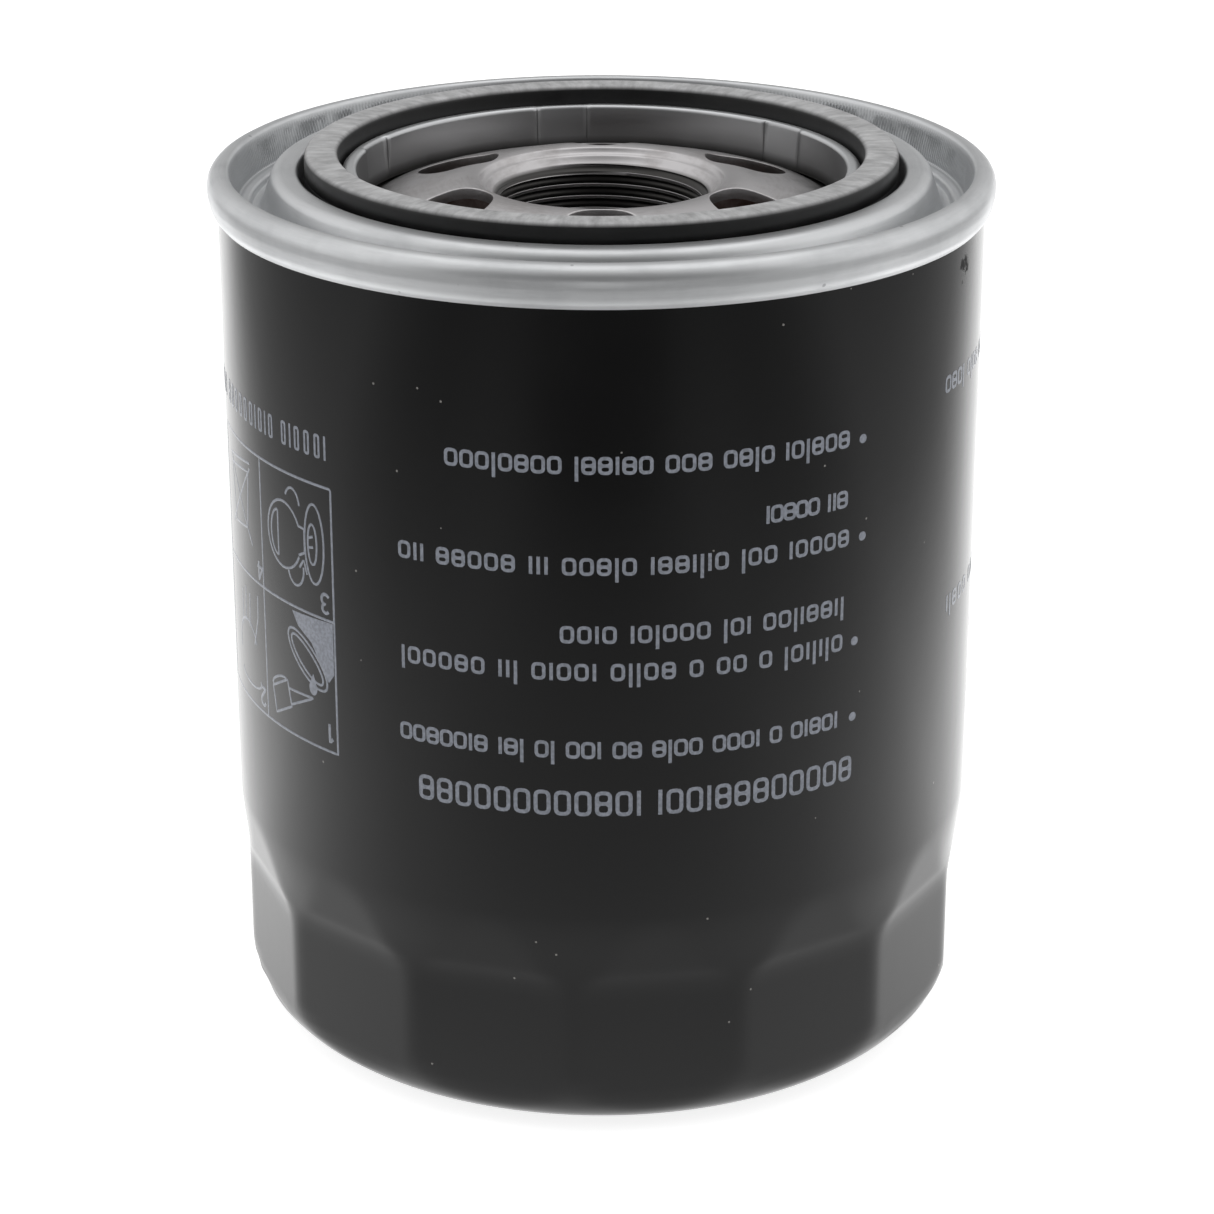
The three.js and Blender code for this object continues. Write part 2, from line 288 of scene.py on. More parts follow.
def newMaterial(name, color, roughness, metallic=0.0):
    material = bpy.data.materials.new(name)
    material.use_nodes = True
    tree = material.node_tree
    shader = tree.nodes["Principled BSDF"]
    shader.inputs["Base Color"].default_value = (*color, 1)
    shader.inputs["Roughness"].default_value = roughness
    shader.inputs["Metallic"].default_value = metallic
    return material, shader, made(tree, "ShaderNodeTexCoord", output="Object")


def feed(shader, label, value):
    value.tree.links.new(value.socket, shader.inputs[label])


def fed(shader, label):  # what feeds an input now
    return Value(shader.inputs[label].links[0].from_socket)


def overlay(shader, share, color):  # a second colour over the one it has
    feed(shader, "Base Color", mixed(share, fed(shader, "Base Color"), color))


def noise(place, scale, detail=3.0, rough=0.5, stretch=None):
    if stretch:
        place = made(place.tree, "ShaderNodeMapping", {"Vector": place, "Scale": stretch})
    inputs = {"Vector": place, "Scale": scale, "Detail": detail, "Roughness": rough}
    return made(place.tree, "ShaderNodeTexNoise", inputs, "Fac")


def scattered(place, scale, above):  # the distance within random cells, and which of the cells count
    cells = addNode(place.tree, "ShaderNodeTexVoronoi", {"Vector": place, "Scale": scale})
    dice = made(place.tree, "ShaderNodeSeparateColor", {0: Value(cells.outputs["Color"])})
    return Value(cells.outputs["Distance"]), calc("GREATER_THAN", dice, above)


def mixed(share, first, second):  # colours, as outputs or as plain values
    inputs = {0: share, 6: first, 7: second}
    for key in (6, 7):
        if not isinstance(inputs[key], Value):
            inputs[key] = (*inputs[key], 1)
    return made(share.tree, "ShaderNodeMix", inputs, 2, data_type="RGBA")


def bumped(shader, height, distance, strength=1.0):  # on top of the bump it has
    inputs = {"Height": height, "Distance": distance, "Strength": strength}
    if shader.inputs["Normal"].links:
        inputs["Normal"] = fed(shader, "Normal")
    feed(shader, "Normal", made(height.tree, "ShaderNodeBump", inputs))


def polar(place):  # angle round the axis, radius and height, in radians and metres
    x, y, z = separated(place)
    return calc("ARCTAN2", x, y * -1.0), calc("SQRT", x * x + y * y), z


def roundStreaks(place, along, across):  # noise drawn out round the axis
    angle, radius, z = polar(place)
    return noise(combined(angle * along, radius * across, z * across), 1.0, 4.0, 0.6)


enamelLook = {"color": (0.0022, 0.0022, 0.0023), "roughness": (0.13, 0.19),
              "peelScale": 420, "peelDepth": 0.012 * mm,
              "dustScale": 400, "dust": 0.7, "dustColor": (0.26, 0.25, 0.235),
              "scuff": (41.6 * mm, -18.7 * mm, 98.9 * mm), "scuffSize": 1.9 * mm}


def enamelMaterial(look=enamelLook):
    material, shader, place = newMaterial("blackEnamel", look["color"], 0.25)
    rough = ranged(noise(place, 45, 4), 0.3, 0.7, *look["roughness"])
    ends = {0: place, 1: look["scuff"]}
    away = made(place.tree, "ShaderNodeVectorMath", ends, "Value", operation="DISTANCE")
    graze = ranged(noise(place, 420, 4, 0.6), 0.45, 0.5)
    scuff = graze * ranged(away, look["scuffSize"], 0.6 * look["scuffSize"])
    feed(shader, "Roughness", rough + scuff * 0.6)
    distance, rare = scattered(place, look["dustScale"], 0.88)
    speck = calc("LESS_THAN", distance, 0.055) * rare
    hair = ranged(noise(place, 60, 6, 0.7, (1, 1, 9)), 0.735, 0.75)
    dust = calc("MAXIMUM", speck, hair * 0.12)
    feed(shader, "Base Color", mixed(dust * look["dust"], look["color"], look["dustColor"]))
    bumped(shader, noise(place, look["peelScale"], 2), look["peelDepth"], 0.6)
    return material


metalLooks = {  # base colour, its darker blotches, roughness from and to, blotch and grain scale, grain depth
    "platedSheet": {"color": (0.7, 0.71, 0.72), "stain": (0.55, 0.56, 0.57), "roughness": (0.32, 0.42),
                    "metallic": 0.86, "blotch": 70, "grain": 2600, "depth": 0.012 * mm},
    "oiledSteel": {"color": (0.57, 0.555, 0.56), "stain": (0.36, 0.34, 0.335), "roughness": (0.3, 0.42),
                   "blotch": 130, "grain": 1800, "depth": 0.012 * mm},
    "pressedSteel": {"color": (0.5, 0.505, 0.515), "stain": (0.34, 0.33, 0.32), "roughness": (0.28, 0.45),
                     "blotch": 110, "grain": 2200, "depth": 0.01 * mm},
    "springWire": {"color": (0.3, 0.3, 0.31), "stain": (0.16, 0.14, 0.12), "roughness": (0.24, 0.42),
                   "blotch": 220, "grain": 3000, "depth": 0.008 * mm},
}


def metalMaterial(name):
    look = metalLooks[name]
    material, shader, place = newMaterial(name, look["color"], 0.35, look.get("metallic", 1.0))
    blotch = noise(place, look["blotch"], 5, 0.6)
    streak = roundStreaks(place, 9, 2600)
    stain = ranged(blotch + streak * 0.35, 0.62, 0.95)
    feed(shader, "Base Color", mixed(stain, look["color"], look["stain"]))
    feed(shader, "Roughness", ranged(blotch, 0.3, 0.7, *look["roughness"]))
    bumped(shader, streak, look["depth"], 0.5)
    bumped(shader, noise(place, look["grain"], 2), look["depth"], 0.4)
    return material, shader, place


crimpShape = {"count": 6, "first": 10, "half": 6.2, "edge": 1.2, "flare": 0.5, "outer": 0.1, "drop": 0.1}
knurlLook = {"count": 520, "inner": 42.6 * mm, "outer": 44.6 * mm, "bottom": 103.3 * mm, "top": 106.2 * mm,
             "depth": 0.12 * mm, "shade": (0.42, 0.43, 0.44), "pitScale": 330, "pitShade": (0.2, 0.2, 0.21)}
# painted shade on the wall inside the gasket: its colours, where it ends, and the heights over which its foot
# turns near black
wallShadeLook = {"radius": 30.4 * mm, "color": (0.36, 0.36, 0.365), "deep": (0.03, 0.028, 0.026),
           "wallFootShadeTop": 103.1 * mm, "wallFootShade": 101.9 * mm, "lip": 106.62 * mm, "crease": 0.09 * degree}


def lidMaterial(look=knurlLook, wallShade=wallShadeLook):  # the seaming chuck's fine marks outside, over painted shade on the channel's wall; painted shade on the wall inside
    material, shader, place = metalMaterial("platedSheet")
    angle, radius, z = polar(place)
    distance, rare = scattered(place, look["pitScale"], 0.8)
    overlay(shader, ranged(distance, 0.1, 0.05) * rare * 0.6, look["pitShade"])

    marks = calc("SINE", angle * look["count"])
    wander = ranged(noise(place, 240), 0.35, 0.6)
    inside = (ranged(radius, look["inner"], look["inner"] + 0.3 * mm)
              * ranged(radius, look["outer"], look["outer"] - 0.3 * mm))
    upright = (ranged(z, look["bottom"], look["bottom"] + 0.5 * mm)
               * ranged(z, look["top"], look["top"] - 0.5 * mm))
    bumped(shader, marks * (inside * upright * wander), look["depth"])
    # painted shade: the channel's wall below the curl's top is painted darker grey, streaked by the chuck's
    # marks
    under = ranged(z, look["top"] + 0.4 * mm, look["top"])
    overlay(shader, inside * under * ranged(marks, -1.0, 1.0, 0.45, 1.0), look["shade"])

    pitch = math.pi / crimpShape["count"]
    away = calc("ABSOLUTE", calc("WRAP", angle - crimpShape["first"] * degree, pitch, -pitch))
    crease = calc("ABSOLUTE", away - crimpShape["half"] * degree)
    crease = ranged(crease, wallShade["crease"], 2.2 * wallShade["crease"], 1.0, 0.0)
    # painted shade: film marks the wall inside the gasket, painted darker grey, near black towards its foot
    # and along the crimps' creases; the lip stays bright
    film = (ranged(radius, wallShade["radius"], wallShade["radius"] - 0.5 * mm)
            * ranged(z, wallShade["lip"], wallShade["lip"] - 0.35 * mm))
    wallFootShade = ranged(z + noise(place, 200) * (0.4 * mm), wallShade["wallFootShade"], wallShade["wallFootShadeTop"], 1.0, 0.0)
    dark = calc("MAXIMUM", wallFootShade, crease * 0.5)
    overlay(shader, film * 0.9, mixed(dark, wallShade["color"], wallShade["deep"]))
    bumped(shader, crease * film * -1.0, 0.05 * mm)
    return material


rubberLooks = {
    "gasketRubber": {"color": (0.007, 0.007, 0.0072), "bloom": (0.018, 0.018, 0.0185),
                     "roughness": (0.4, 0.55)},
    "valveRubber": {"color": (0.05, 0.017, 0.012), "bloom": (0.09, 0.04, 0.03), "roughness": (0.45, 0.62)},
    "sealRubber": {"color": (0.014, 0.014, 0.014), "bloom": (0.035, 0.035, 0.035), "roughness": (0.5, 0.65)},
}


def rubberMaterial(name):
    look = rubberLooks[name]
    material, shader, place = newMaterial(name, look["color"], 0.5)
    bloom = noise(place, 160, 5, 0.6)
    feed(shader, "Base Color", mixed(ranged(bloom, 0.45, 0.75), look["color"], look["bloom"]))
    feed(shader, "Roughness", ranged(bloom, 0.3, 0.7, *look["roughness"]))
    bumped(shader, noise(place, 2400, 3), 0.012 * mm, 0.5)
    return material, shader, place


# the painted sheen on the gasket's top face: its colour, its share and the height where it begins
topSheenLook = {"color": (0.74, 0.74, 0.745), "share": 0.9, "height": 108.25 * mm}


def gasketMaterial(look=topSheenLook):  # the top face carries a painted sheen, light grey in radial streaks
    material, shader, place = rubberMaterial("gasketRubber")
    angle, radius, z = polar(place)
    coarse, fine = [noise(combined(angle * along, radius * across), 1.0, 4, 0.6)
                    for along, across in ((14, 260), (34, 300))]
    smearAndSheen = (coarse + fine) * 0.5
    onTop = ranged(z, look["height"], look["height"] + 0.4 * mm)
    # painted sheen: the top face is painted light grey in radial streaks, with a faint bump
    overlay(shader, ranged(smearAndSheen, 0.34, 0.66, 0.45, 1.0) * onTop * look["share"], look["color"])
    bumped(shader, smearAndSheen * onTop, 0.04 * mm, 0.5)
    return material


# painted shade in the thread's grooves and in the corner by the lid's wall: where each begins, and their
# colours
threadLook = {"crest": 12.2 * mm, "flank": 12.25 * mm, "mouth": 103.4 * mm, "dark": (0.06, 0.058, 0.056),
              "cornerShadeFrom": 22.0 * mm, "corner": 28.2 * mm, "plateCornerShade": (0.05, 0.045, 0.042)}


def plateMaterial(look=threadLook):  # oiled steel, with painted shade in the thread's grooves and in the corner by the lid
    material, shader, place = metalMaterial("oiledSteel")
    angle, radius, z = polar(place)
    patchy = (noise(place, 260, 4) - 0.5) * (3 * mm)
    # painted shade: near black towards the corner by the lid's wall, patchy at its edge
    corner = ranged(radius + patchy, look["cornerShadeFrom"], look["corner"], way="SMOOTHSTEP")
    overlay(shader, corner * 0.92, look["plateCornerShade"])
    # painted shade: the thread's grooves below the mouth are painted near black, and the crests keep the
    # plain colour
    groove = ranged(radius, look["crest"], look["flank"]) * ranged(z, look["mouth"], look["mouth"] - 0.5 * mm)
    bore = ranged(radius, 14.0 * mm, 13.6 * mm)
    overlay(shader, groove * bore, look["dark"])
    scratch = noise(place, 420, 5, 0.75, (1, 0.12, 1))
    bumped(shader, ranged(scratch, 0.58, 0.7), 0.02 * mm, 0.6)
    return material


def tornSteelMaterial():  # the lower part of a punched hole's wall: rough, dark, a little rusty
    material, shader, place = newMaterial("tornSteel", (0.12, 0.08, 0.07), 0.5, 0.8)
    patch = ranged(noise(place, 500, 4), 0.35, 0.65)
    feed(shader, "Base Color", mixed(patch, (0.09, 0.05, 0.04), (0.2, 0.16, 0.15)))
    bumped(shader, noise(place, 1500, 4, 0.7), 0.08 * mm, 0.8)
    return material


def paperMaterial():
    material, shader, place = newMaterial("filterPaper", (0.66, 0.5, 0.24), 0.85)
    fibre = noise(place, 900, 6, 0.75)
    feed(shader, "Base Color", mixed(fibre, (0.52, 0.37, 0.15), (0.76, 0.62, 0.34)))
    bumped(shader, fibre, 0.05 * mm, 0.7)
    return material


def resinMaterial(name, deep, pale, roughness):
    material, shader, place = newMaterial(name, deep, roughness)
    cloud = noise(place, 180, 4)
    feed(shader, "Base Color", mixed(ranged(cloud, 0.35, 0.65), deep, pale))
    feed(shader, "Roughness", ranged(cloud, 0.3, 0.7, roughness - 0.1, roughness + 0.1))
    bumped(shader, noise(place, 700, 3), 0.03 * mm, 0.5)
    return material


def inkMaterial():
    material, shader, place = newMaterial("greyInk", (0.2, 0.215, 0.25), 0.24)
    grain = ranged(noise(place, 2600, 2), 0.35, 0.65)
    feed(shader, "Base Color", mixed(grain, (0.16, 0.172, 0.2), (0.23, 0.245, 0.285)))
    return material


enamel = enamelMaterial()
plated = lidMaterial()
oiled = plateMaterial()
torn = tornSteelMaterial()
pressed = metalMaterial("pressedSteel")[0]
wire = metalMaterial("springWire")[0]
gasketFinish = gasketMaterial()
brownRubber = rubberMaterial("valveRubber")[0]
sealRubber = rubberMaterial("sealRubber")[0]
paperFinish = paperMaterial()
potting = resinMaterial("pottingResin", (0.4, 0.2, 0.04), (0.55, 0.32, 0.09), 0.4)
compound = resinMaterial("seamCompound", (0.2, 0.18, 0.14), (0.3, 0.28, 0.23), 0.75)
ink = inkMaterial()
print("materials made:", len(bpy.data.materials))


# the can: a drawn cup, with wrench flats pressed round its closed end

canShape = {"radius": 45.6, "wall": 0.6, "bend": 7.6, "footInner": 30.2, "recess": 1.8, "recessRadius": 27,
            "flats": 14, "apothem": 43.9, "corner": 44.9, "flatTop": 20, "blendTop": 29.4, "turn": -4.35,
            "softness": 0.16, "turns": 336}


def blunt(first, second, soft):  # the smaller of two, with a soft step between them
    gap = np.clip(0.5 + (second - first) / (2 * soft), 0, 1)
    return second + (first - second) * gap - soft * gap * (1 - gap)


def canSkin(inset, top, look=canShape):  # from the middle of the foot up to the open edge
    flatToSlope = (look["radius"] - look["apothem"]) / (look["blendTop"] - look["flatTop"])
    rise = [(look["corner"] - inset, z) for z in np.linspace(look["bend"] + 0.8, look["flatTop"] - 0.6, 9)]
    share = np.linspace(0, 1, 17)[1:]
    spread = look["corner"] + (look["radius"] - look["corner"]) * share ** 2 * (3 - 2 * share)
    climb = zip(spread - inset, look["flatTop"] + share * (look["blendTop"] - look["flatTop"]))
    plain = [(look["radius"] - inset, z) for z in np.linspace(look["blendTop"] + 3, top, 8)]
    foot = bent([(look["recessRadius"], look["recess"] + inset, 2.0), (look["footInner"], inset, 1.6),
                 (look["corner"] - inset, inset, look["bend"] - inset), (look["corner"] - inset, 30)], 8)
    centre = [(0, look["recess"] + inset), (9, look["recess"] + inset), (18, look["recess"] + inset)]
    outline = centre + [tuple(p) for p in foot[:-1]] + rise + list(climb) + plain

    def flatten(r, z, a):
        pitch = 2 * math.pi / look["flats"]
        across = (a - look["turn"] * degree) % pitch - pitch / 2
        above = np.clip(z - look["flatTop"] + 1.4, 0, None)
        ease = np.clip(above / 2.8, 0, 1) * above  # the flat leans out gently at its top
        flat = (look["apothem"] - inset + ease * flatToSlope) / np.cos(across)
        low = np.clip((r - 30) / 5, 0, 1)  # the foot stays round
        pressedIn = blunt(r, flat, look["softness"])
        return np.where(z < look["blendTop"] + 2, r + (pressedIn - r) * low, r), z

    return outline, flatten


def canMesh(look=canShape):
    top = span("canister")[2]
    outer, flatten = canSkin(0, top)
    inner, flattenInner = canSkin(look["wall"], top)
    sections = outer + inner[::-1]
    split = len(outer)

    def both(r, z, a):
        outside = flatten(r[:split], z[:split], a[:split])
        inside = flattenInner(r[split:], z[split:], a[split:])
        return np.concatenate([outside[0], inside[0]]), np.concatenate([outside[1], inside[1]])

    return revolved("canShell", sections, look["turns"], both)


addPiece("canShell", canMesh(), [enamel], "canister")
print("can made")


# the lid: plated sheet from the curl to the wall inside the gasket, crimped in six places

lidShape = {"sheet": 0.5, "floor": 101.9, "ledge": 102.7, "wallTop": 106.7, "curlInner": 44.25,
            "ridgeOuter": 39.0, "ridgeFall": 0.08, "ridgeInner": 36.05, "ridgeFoot": 40.6,
            "grooveOuter": 35.7, "grooveInner": 30.9, "wallInner": 29.1, "turns": 480}


def crimped(r, z, a, look=crimpShape):
    pitch = 2 * math.pi / look["count"]
    away = np.abs((a - look["first"] * degree + pitch / 2) % pitch - pitch / 2) / degree
    within = np.clip((look["half"] - away) / look["edge"] + 0.5, 0, 1)
    height = np.clip((z - 102.3) / (lidShape["wallTop"] - 102.3), 0, 1)
    wall = (r < lidShape["grooveInner"] + 0.05) & (z > 101.3)
    inward = np.clip((lidShape["grooveInner"] - r) / (lidShape["grooveInner"] - lidShape["wallInner"]), 0, 1)
    flare = (look["outer"] + (look["flare"] - look["outer"]) * inward) * height * within
    return np.where(wall, r + flare, r), np.where(wall, z - look["drop"] * within * height, z)


def lidMesh(look=lidShape):
    radius, bottom, top = span("seaming_lid")
    hem = bottom + 0.66
    path = bent([
        (canShape["radius"] + 0.12, hem),
        (46.45, hem + 0.85, 2.0),
        (radius, hem + 2.4, 2.8),
        (radius, top, 1.75),
        (look["curlInner"], top, 0.5),
        (look["curlInner"] - 1, look["ledge"], 0.35),
        (41.85, look["ledge"], 0.55),
        (41.6, look["floor"], 0.2),
        (look["ridgeFoot"], look["floor"], 1.0),
        (look["ridgeOuter"], look["wallTop"] - look["ridgeFall"], 1.4),
        (look["ridgeInner"], look["wallTop"], 0.55),
        (look["grooveOuter"], look["floor"], 0.3),
        (look["grooveInner"], look["floor"], 0.3),
        (look["grooveInner"], look["wallTop"], 0.85),
        (look["wallInner"], look["wallTop"], 0.5),
        (look["wallInner"], 104.2),
        (look["wallInner"], bottom),
    ])
    return revolved("lid", sheetOutline(path, look["sheet"]), look["turns"], crimped)


addPiece("lid", lidMesh(), [plated], "seaming_lid")
print("lid made")


# the gasket: a square ring with eased edges and a faint mould line

gasketShape = {"inner": 31.2, "edge": 0.7}


def gasketMesh(look=gasketShape):
    outer, bottom, top = span("gasket")
    middle = (bottom + top) / 2 + 0.6
    outline = bent([
        (look["inner"], bottom, 0.4), (outer, bottom, 0.4), (outer, middle - 0.08), (outer - 0.05, middle),
        (outer, middle + 0.08), (outer, top, look["edge"]), (look["inner"], top, look["edge"]),
        (look["inner"], middle),
    ])

    def uneven(r, z, a):
        wave = 0.03 * np.sin(3 * a + 0.4) + 0.015 * np.sin(11 * a)
        return np.where(r < outer - 0.5, r + wave, r), z

    return revolved("gasketRing", outline, 288, uneven)


addPiece("gasketRing", gasketMesh(), [gasketFinish], "gasket")
print("gasket made")


# the base plate: domed thick steel with six punched inlets and a threaded neck

plateShape = {"major": 13.0, "minor": 12.19, "pitch": 1.5, "neckRadius": 15.0, "widest": 13.05,
              "mouth": 103.35, "face": 101.1, "thickness": 2.8, "inlets": 6, "circle": 20.2, "hole": 4.9,
              "holeEdge": 0.14, "shear": 1.3, "inner": 15.15, "outer": 26.6, "perArc": 32, "perSide": 16}
plateTop = [(14.7, 104.93), (15.15, 105.03), (15.8, 105.08), (16.4, 105.06), (17.4, 104.9), (20, 104.15),
            (24, 103.15), (26, 102.6), (27.2, 102.1), (28.1, 101.5), (28.8, 101.2), (29.6, 101.1),
            (31, 101.1), (41, 101.1)]
plateUnder = [(15, 100.3), (15.3, 101.2), (16, 101.6), (17.5, 101.6), (20, 101.15), (23.4, 100.3), (26, 99.2),
              (27.6, 98.5), (29, 98.3), (31, 98.3), (41, 98.3)]


def smoothLine(points):  # a smooth curve through the points
    x, y = np.array(points, float).T
    steps = np.diff(y) / np.diff(x)
    level = np.where(steps[1:] * steps[:-1] > 0, (steps[1:] + steps[:-1]) / 2, 0)
    slope = np.concatenate([steps[:1], level, steps[-1:]])

    def at(value):
        i = np.clip(np.searchsorted(x, value) - 1, 0, len(x) - 2)
        wide = x[i + 1] - x[i]
        t = np.clip((value - x[i]) / wide, 0, 1)
        hermite = (2 * t ** 3 - 3 * t ** 2 + 1) * y[i] + (3 * t ** 2 - 2 * t ** 3) * y[i + 1]
        return hermite + (t ** 3 - 2 * t ** 2 + t) * wide * slope[i] + (t ** 3 - t ** 2) * wide * slope[i + 1]

    return at


topHeight, underHeight = smoothLine(plateTop), smoothLine(plateUnder)


def inletSector(turn, look=plateShape):  # a sixth of the plate's dome, as rings of points round its hole
    half = math.pi / look["inlets"]
    arc = np.linspace(-half, half, look["perArc"] + 1)
    side = np.linspace(look["inner"], look["outer"], look["perSide"] + 1)
    edge = ([(r, -half) for r in side[:-1]] + [(look["outer"], a) for a in arc[:-1]]
            + [(r, half) for r in side[:0:-1]] + [(look["inner"], a) for a in arc[:0:-1]])
    edge = np.array([(r * math.cos(a), r * math.sin(a)) for r, a in edge])
    centre = np.array([look["circle"], 0.0])
    outward = edge - centre
    length = np.linalg.norm(outward, axis=1)
    outward = outward / length[:, None]
    rings = []

    def ring(distance, height, drop):  # a ring at a distance from the hole's centre
        point = centre + outward * distance[:, None]
        rings.append((point, height(np.linalg.norm(point, axis=1)) - drop))

    ones = np.ones(len(edge))
    rim = look["hole"] + look["holeEdge"]
    for share in (1, 0.8, 0.62, 0.45, 0.3, 0.18, 0.08, 0):
        ring(rim + (length - rim) * share if share < 1 else length, topHeight, 0)
    for b in np.linspace(90, 0, 5)[1:] * degree:
        reach = np.minimum(rim - look["holeEdge"] * math.cos(b), length)
        ring(reach * ones, topHeight, look["holeEdge"] * (1 - math.sin(b)))
    for drop in (look["shear"] * 0.6, look["shear"], 1.7, 2.1, 2.5):
        ring(look["hole"] * ones, topHeight, drop)
    for share in (0, 0.08, 0.3, 0.6, 1):
        ring(look["hole"] + (length - look["hole"]) * share, underHeight, 0)
    points = []
    for point, height in rings:
        radius = np.linalg.norm(point, axis=1)
        angle = np.arctan2(point[:, 1], point[:, 0]) + turn
        points.append(turnedGrid(radius, height, angle))
    return np.concatenate(points), len(rings), len(edge)


def threadGrid(angles, look=plateShape):  # rows along the helix, cut off level at the mouth and the bottom
    bottom = span("base_plate")[1]
    high, low, edge = look["major"], look["minor"], look["minor"] + 0.03
    flank = [(0.125 + 0.078 * i, high + (edge - high) * i / 4) for i in range(4)]
    profile = ([(0, high)] + flank + [(0.43, edge), (0.452, low), (0.673, low), (0.695, edge)]
               + [(1.0 - share, radius) for share, radius in flank[:0:-1]])
    first, last = -2, int((look["mouth"] - bottom) / look["pitch"]) + 2
    turn = np.array([k + share for k in range(first, last) for share, _ in profile])
    r = np.repeat(np.tile([radius for _, radius in profile], last - first)[:, None], len(angles), 1)
    a = np.tile(angles, (len(turn), 1))
    z = np.clip(bottom + (turn[:, None] + a / (2 * math.pi)) * look["pitch"], bottom, look["mouth"])
    lead = np.minimum(look["mouth"] - z, z - bottom)
    r = np.maximum(r, look["widest"] - 0.9 * lead)
    faces, count = [], len(angles)
    for i in range(len(turn) - 1 - len(profile)):
        for j in range(count):
            right = (i + len(profile)) * count if j == count - 1 else i * count + j + 1
            faces.append([i * count + j, (i + 1) * count + j, right + count, right])
    return turnedGrid(r, z, a), faces


plateMouth = [(14.82, 104.98), (14.66, 104.93), (14.56, 104.84), (14.48, 104.72), (14.3, 104.42),
              (14.1, 104.27), (13.85, 104.2), (13.7, 104.13), (13.61, 104.03), (13.5, 103.86),
              (13.2, 103.48), (13.09, 103.39), (13.05, 103.35)]


def plateMesh(look=plateShape):
    radius, bottom, _ = span("base_plate")
    around = look["inlets"] * look["perArc"]
    angles = (np.arange(around) / look["perArc"] - 0.5) * 2 * math.pi / look["inlets"]
    points, faces, tornFaces = [], [], []

    def add(grid, gridded):
        first = sum(map(len, points))
        faces.extend([first + k for k in face] for face in gridded)
        points.append(grid)

    def strip(section):
        section = np.array([tuple(p) for p in section])
        r, z = np.repeat(section[:, :1], around, 1), np.repeat(section[:, 1:], around, 1)
        grid = turnedGrid(r, z, np.tile(angles, (len(section), 1)))
        add(grid, gridFaces(len(section), around, False, True))

    strip([(look["inner"], float(topHeight(look["inner"])))] + plateMouth)
    add(*threadGrid(angles))
    neck = bent([(look["widest"], bottom), (look["neckRadius"], bottom, 0.5), (look["neckRadius"], 99.9)])
    strip(neck + [(look["neckRadius"], 100.6), (look["inner"], float(underHeight(look["inner"])))])
    face, back = look["face"], look["face"] - look["thickness"]
    flange = bent([(29.8, face), (radius, face, 0.5), (radius, back, 0.5), (29.8, back)])
    slope = [(r, float(topHeight(r))) for r in np.linspace(look["outer"], 29.6, 10)]
    belly = [(r, float(underHeight(r))) for r in np.linspace(29.6, look["outer"], 8)]
    strip((slope + flange + belly)[::-1])
    for sector in range(look["inlets"]):
        grid, rows, columns = inletSector(sector * 2 * math.pi / look["inlets"])
        add(grid, gridFaces(rows, columns, False, True))
        start = len(faces) - (rows - 1) * columns
        tornFaces.append((start + 13 * columns, start + 17 * columns))
    mesh = plainMesh("threadPlate", np.concatenate(points), faces=faces)
    mesh.materials.append(oiled)
    mesh.materials.append(torn)
    for start, end in tornFaces:
        for face in range(start, end):
            mesh.polygons[face].material_index = 1
    return tidied(mesh, 0.000004)


addPiece("threadPlate", plateMesh(), [], "base_plate", sharp=40)
print("base plate made")


# small turned pieces: outlines go anticlockwise, outer face upwards

def valveOutline():
    radius, bottom, top = span("drainback_valve")
    under = bottom + 1
    return bent([
        (15.3, bottom), (17.6, bottom, 0.5), (18.1, under, 0.3), (26.6, under),
        (radius - 0.2, under + 1.1, 0.5), (radius, top, 0.35), (radius - 1.7, top, 0.3),
        (27.6, under + 1.5, 0.6), (18.6, under + 1.4, 0.6),
        (17.3, top - 0.1, 0.4), (15.3, top - 0.1, 0.3),
    ], 4)


def capOutline(node, hole):  # an end cap's sheet, with a stiffening bead
    radius, bottom, top = span(node)
    if node == "top_end_cap":
        path = [(radius, bottom), (radius, top, 1), (31.2, top, 0.3), (30.8, top - 0.25, 0.3),
                (29.4, top - 0.25, 0.3), (29, top, 0.3), (hole, top)]
    else:
        path = [(hole, bottom), (29, bottom, 0.3), (29.4, bottom + 0.25, 0.3), (30.8, bottom + 0.25, 0.3),
                (31.2, bottom, 0.3), (radius, bottom, 1), (radius, top)]
    return sheetOutline(bent(path, 4), 0.55)


def grommetOutline():
    radius, bottom, top = span("element_grommet")
    capTop = span("top_end_cap")[2]
    return bent([
        (15.3, bottom), (17.2, bottom, 0.3), (17.2, capTop - 0.9, 0.2), (16.3, capTop - 0.9, 0.1),
        (16.3, capTop + 0.3, 0.1), (radius, capTop + 0.3, 0.2), (17.6, top, 0.3), (15.3, top, 0.2),
    ], 3)


def ringOutline(node, inner, edge):
    radius, bottom, top = span(node)
    return bent([(inner, bottom, edge), (radius, bottom, edge), (radius, top, edge), (inner, top, edge)], 3)


def seatOutline():
    radius, bottom, top = span("bypass_seat")
    return bent([
        (7.4, bottom, 0.2), (radius, bottom, 0.2), (radius, bottom + 0.8, 0.2), (9.2, bottom + 0.8, 0.2),
        (9.2, top, 0.3), (8.4, top, 0.3), (8.4, 15.1, 0.2), (7.4, bottom + 0.8, 0.2),
    ], 3)


def poppetOutline():
    radius, bottom, top = span("bypass_poppet")
    disc = span("bypass_seal")[2] + 0.3
    return bent([
        (0, bottom), (4.7, bottom, 0.2), (4.7, disc), (radius, disc, 0.2), (radius, disc + 0.8, 0.2),
        (4.2, disc + 0.8, 0.2), (4.2, disc + 2.2, 0.5), (2.4, disc + 2.6, 0.3), (2.4, top - 0.6),
        (1.8, top, 0.2), (0, top),
    ], 3)


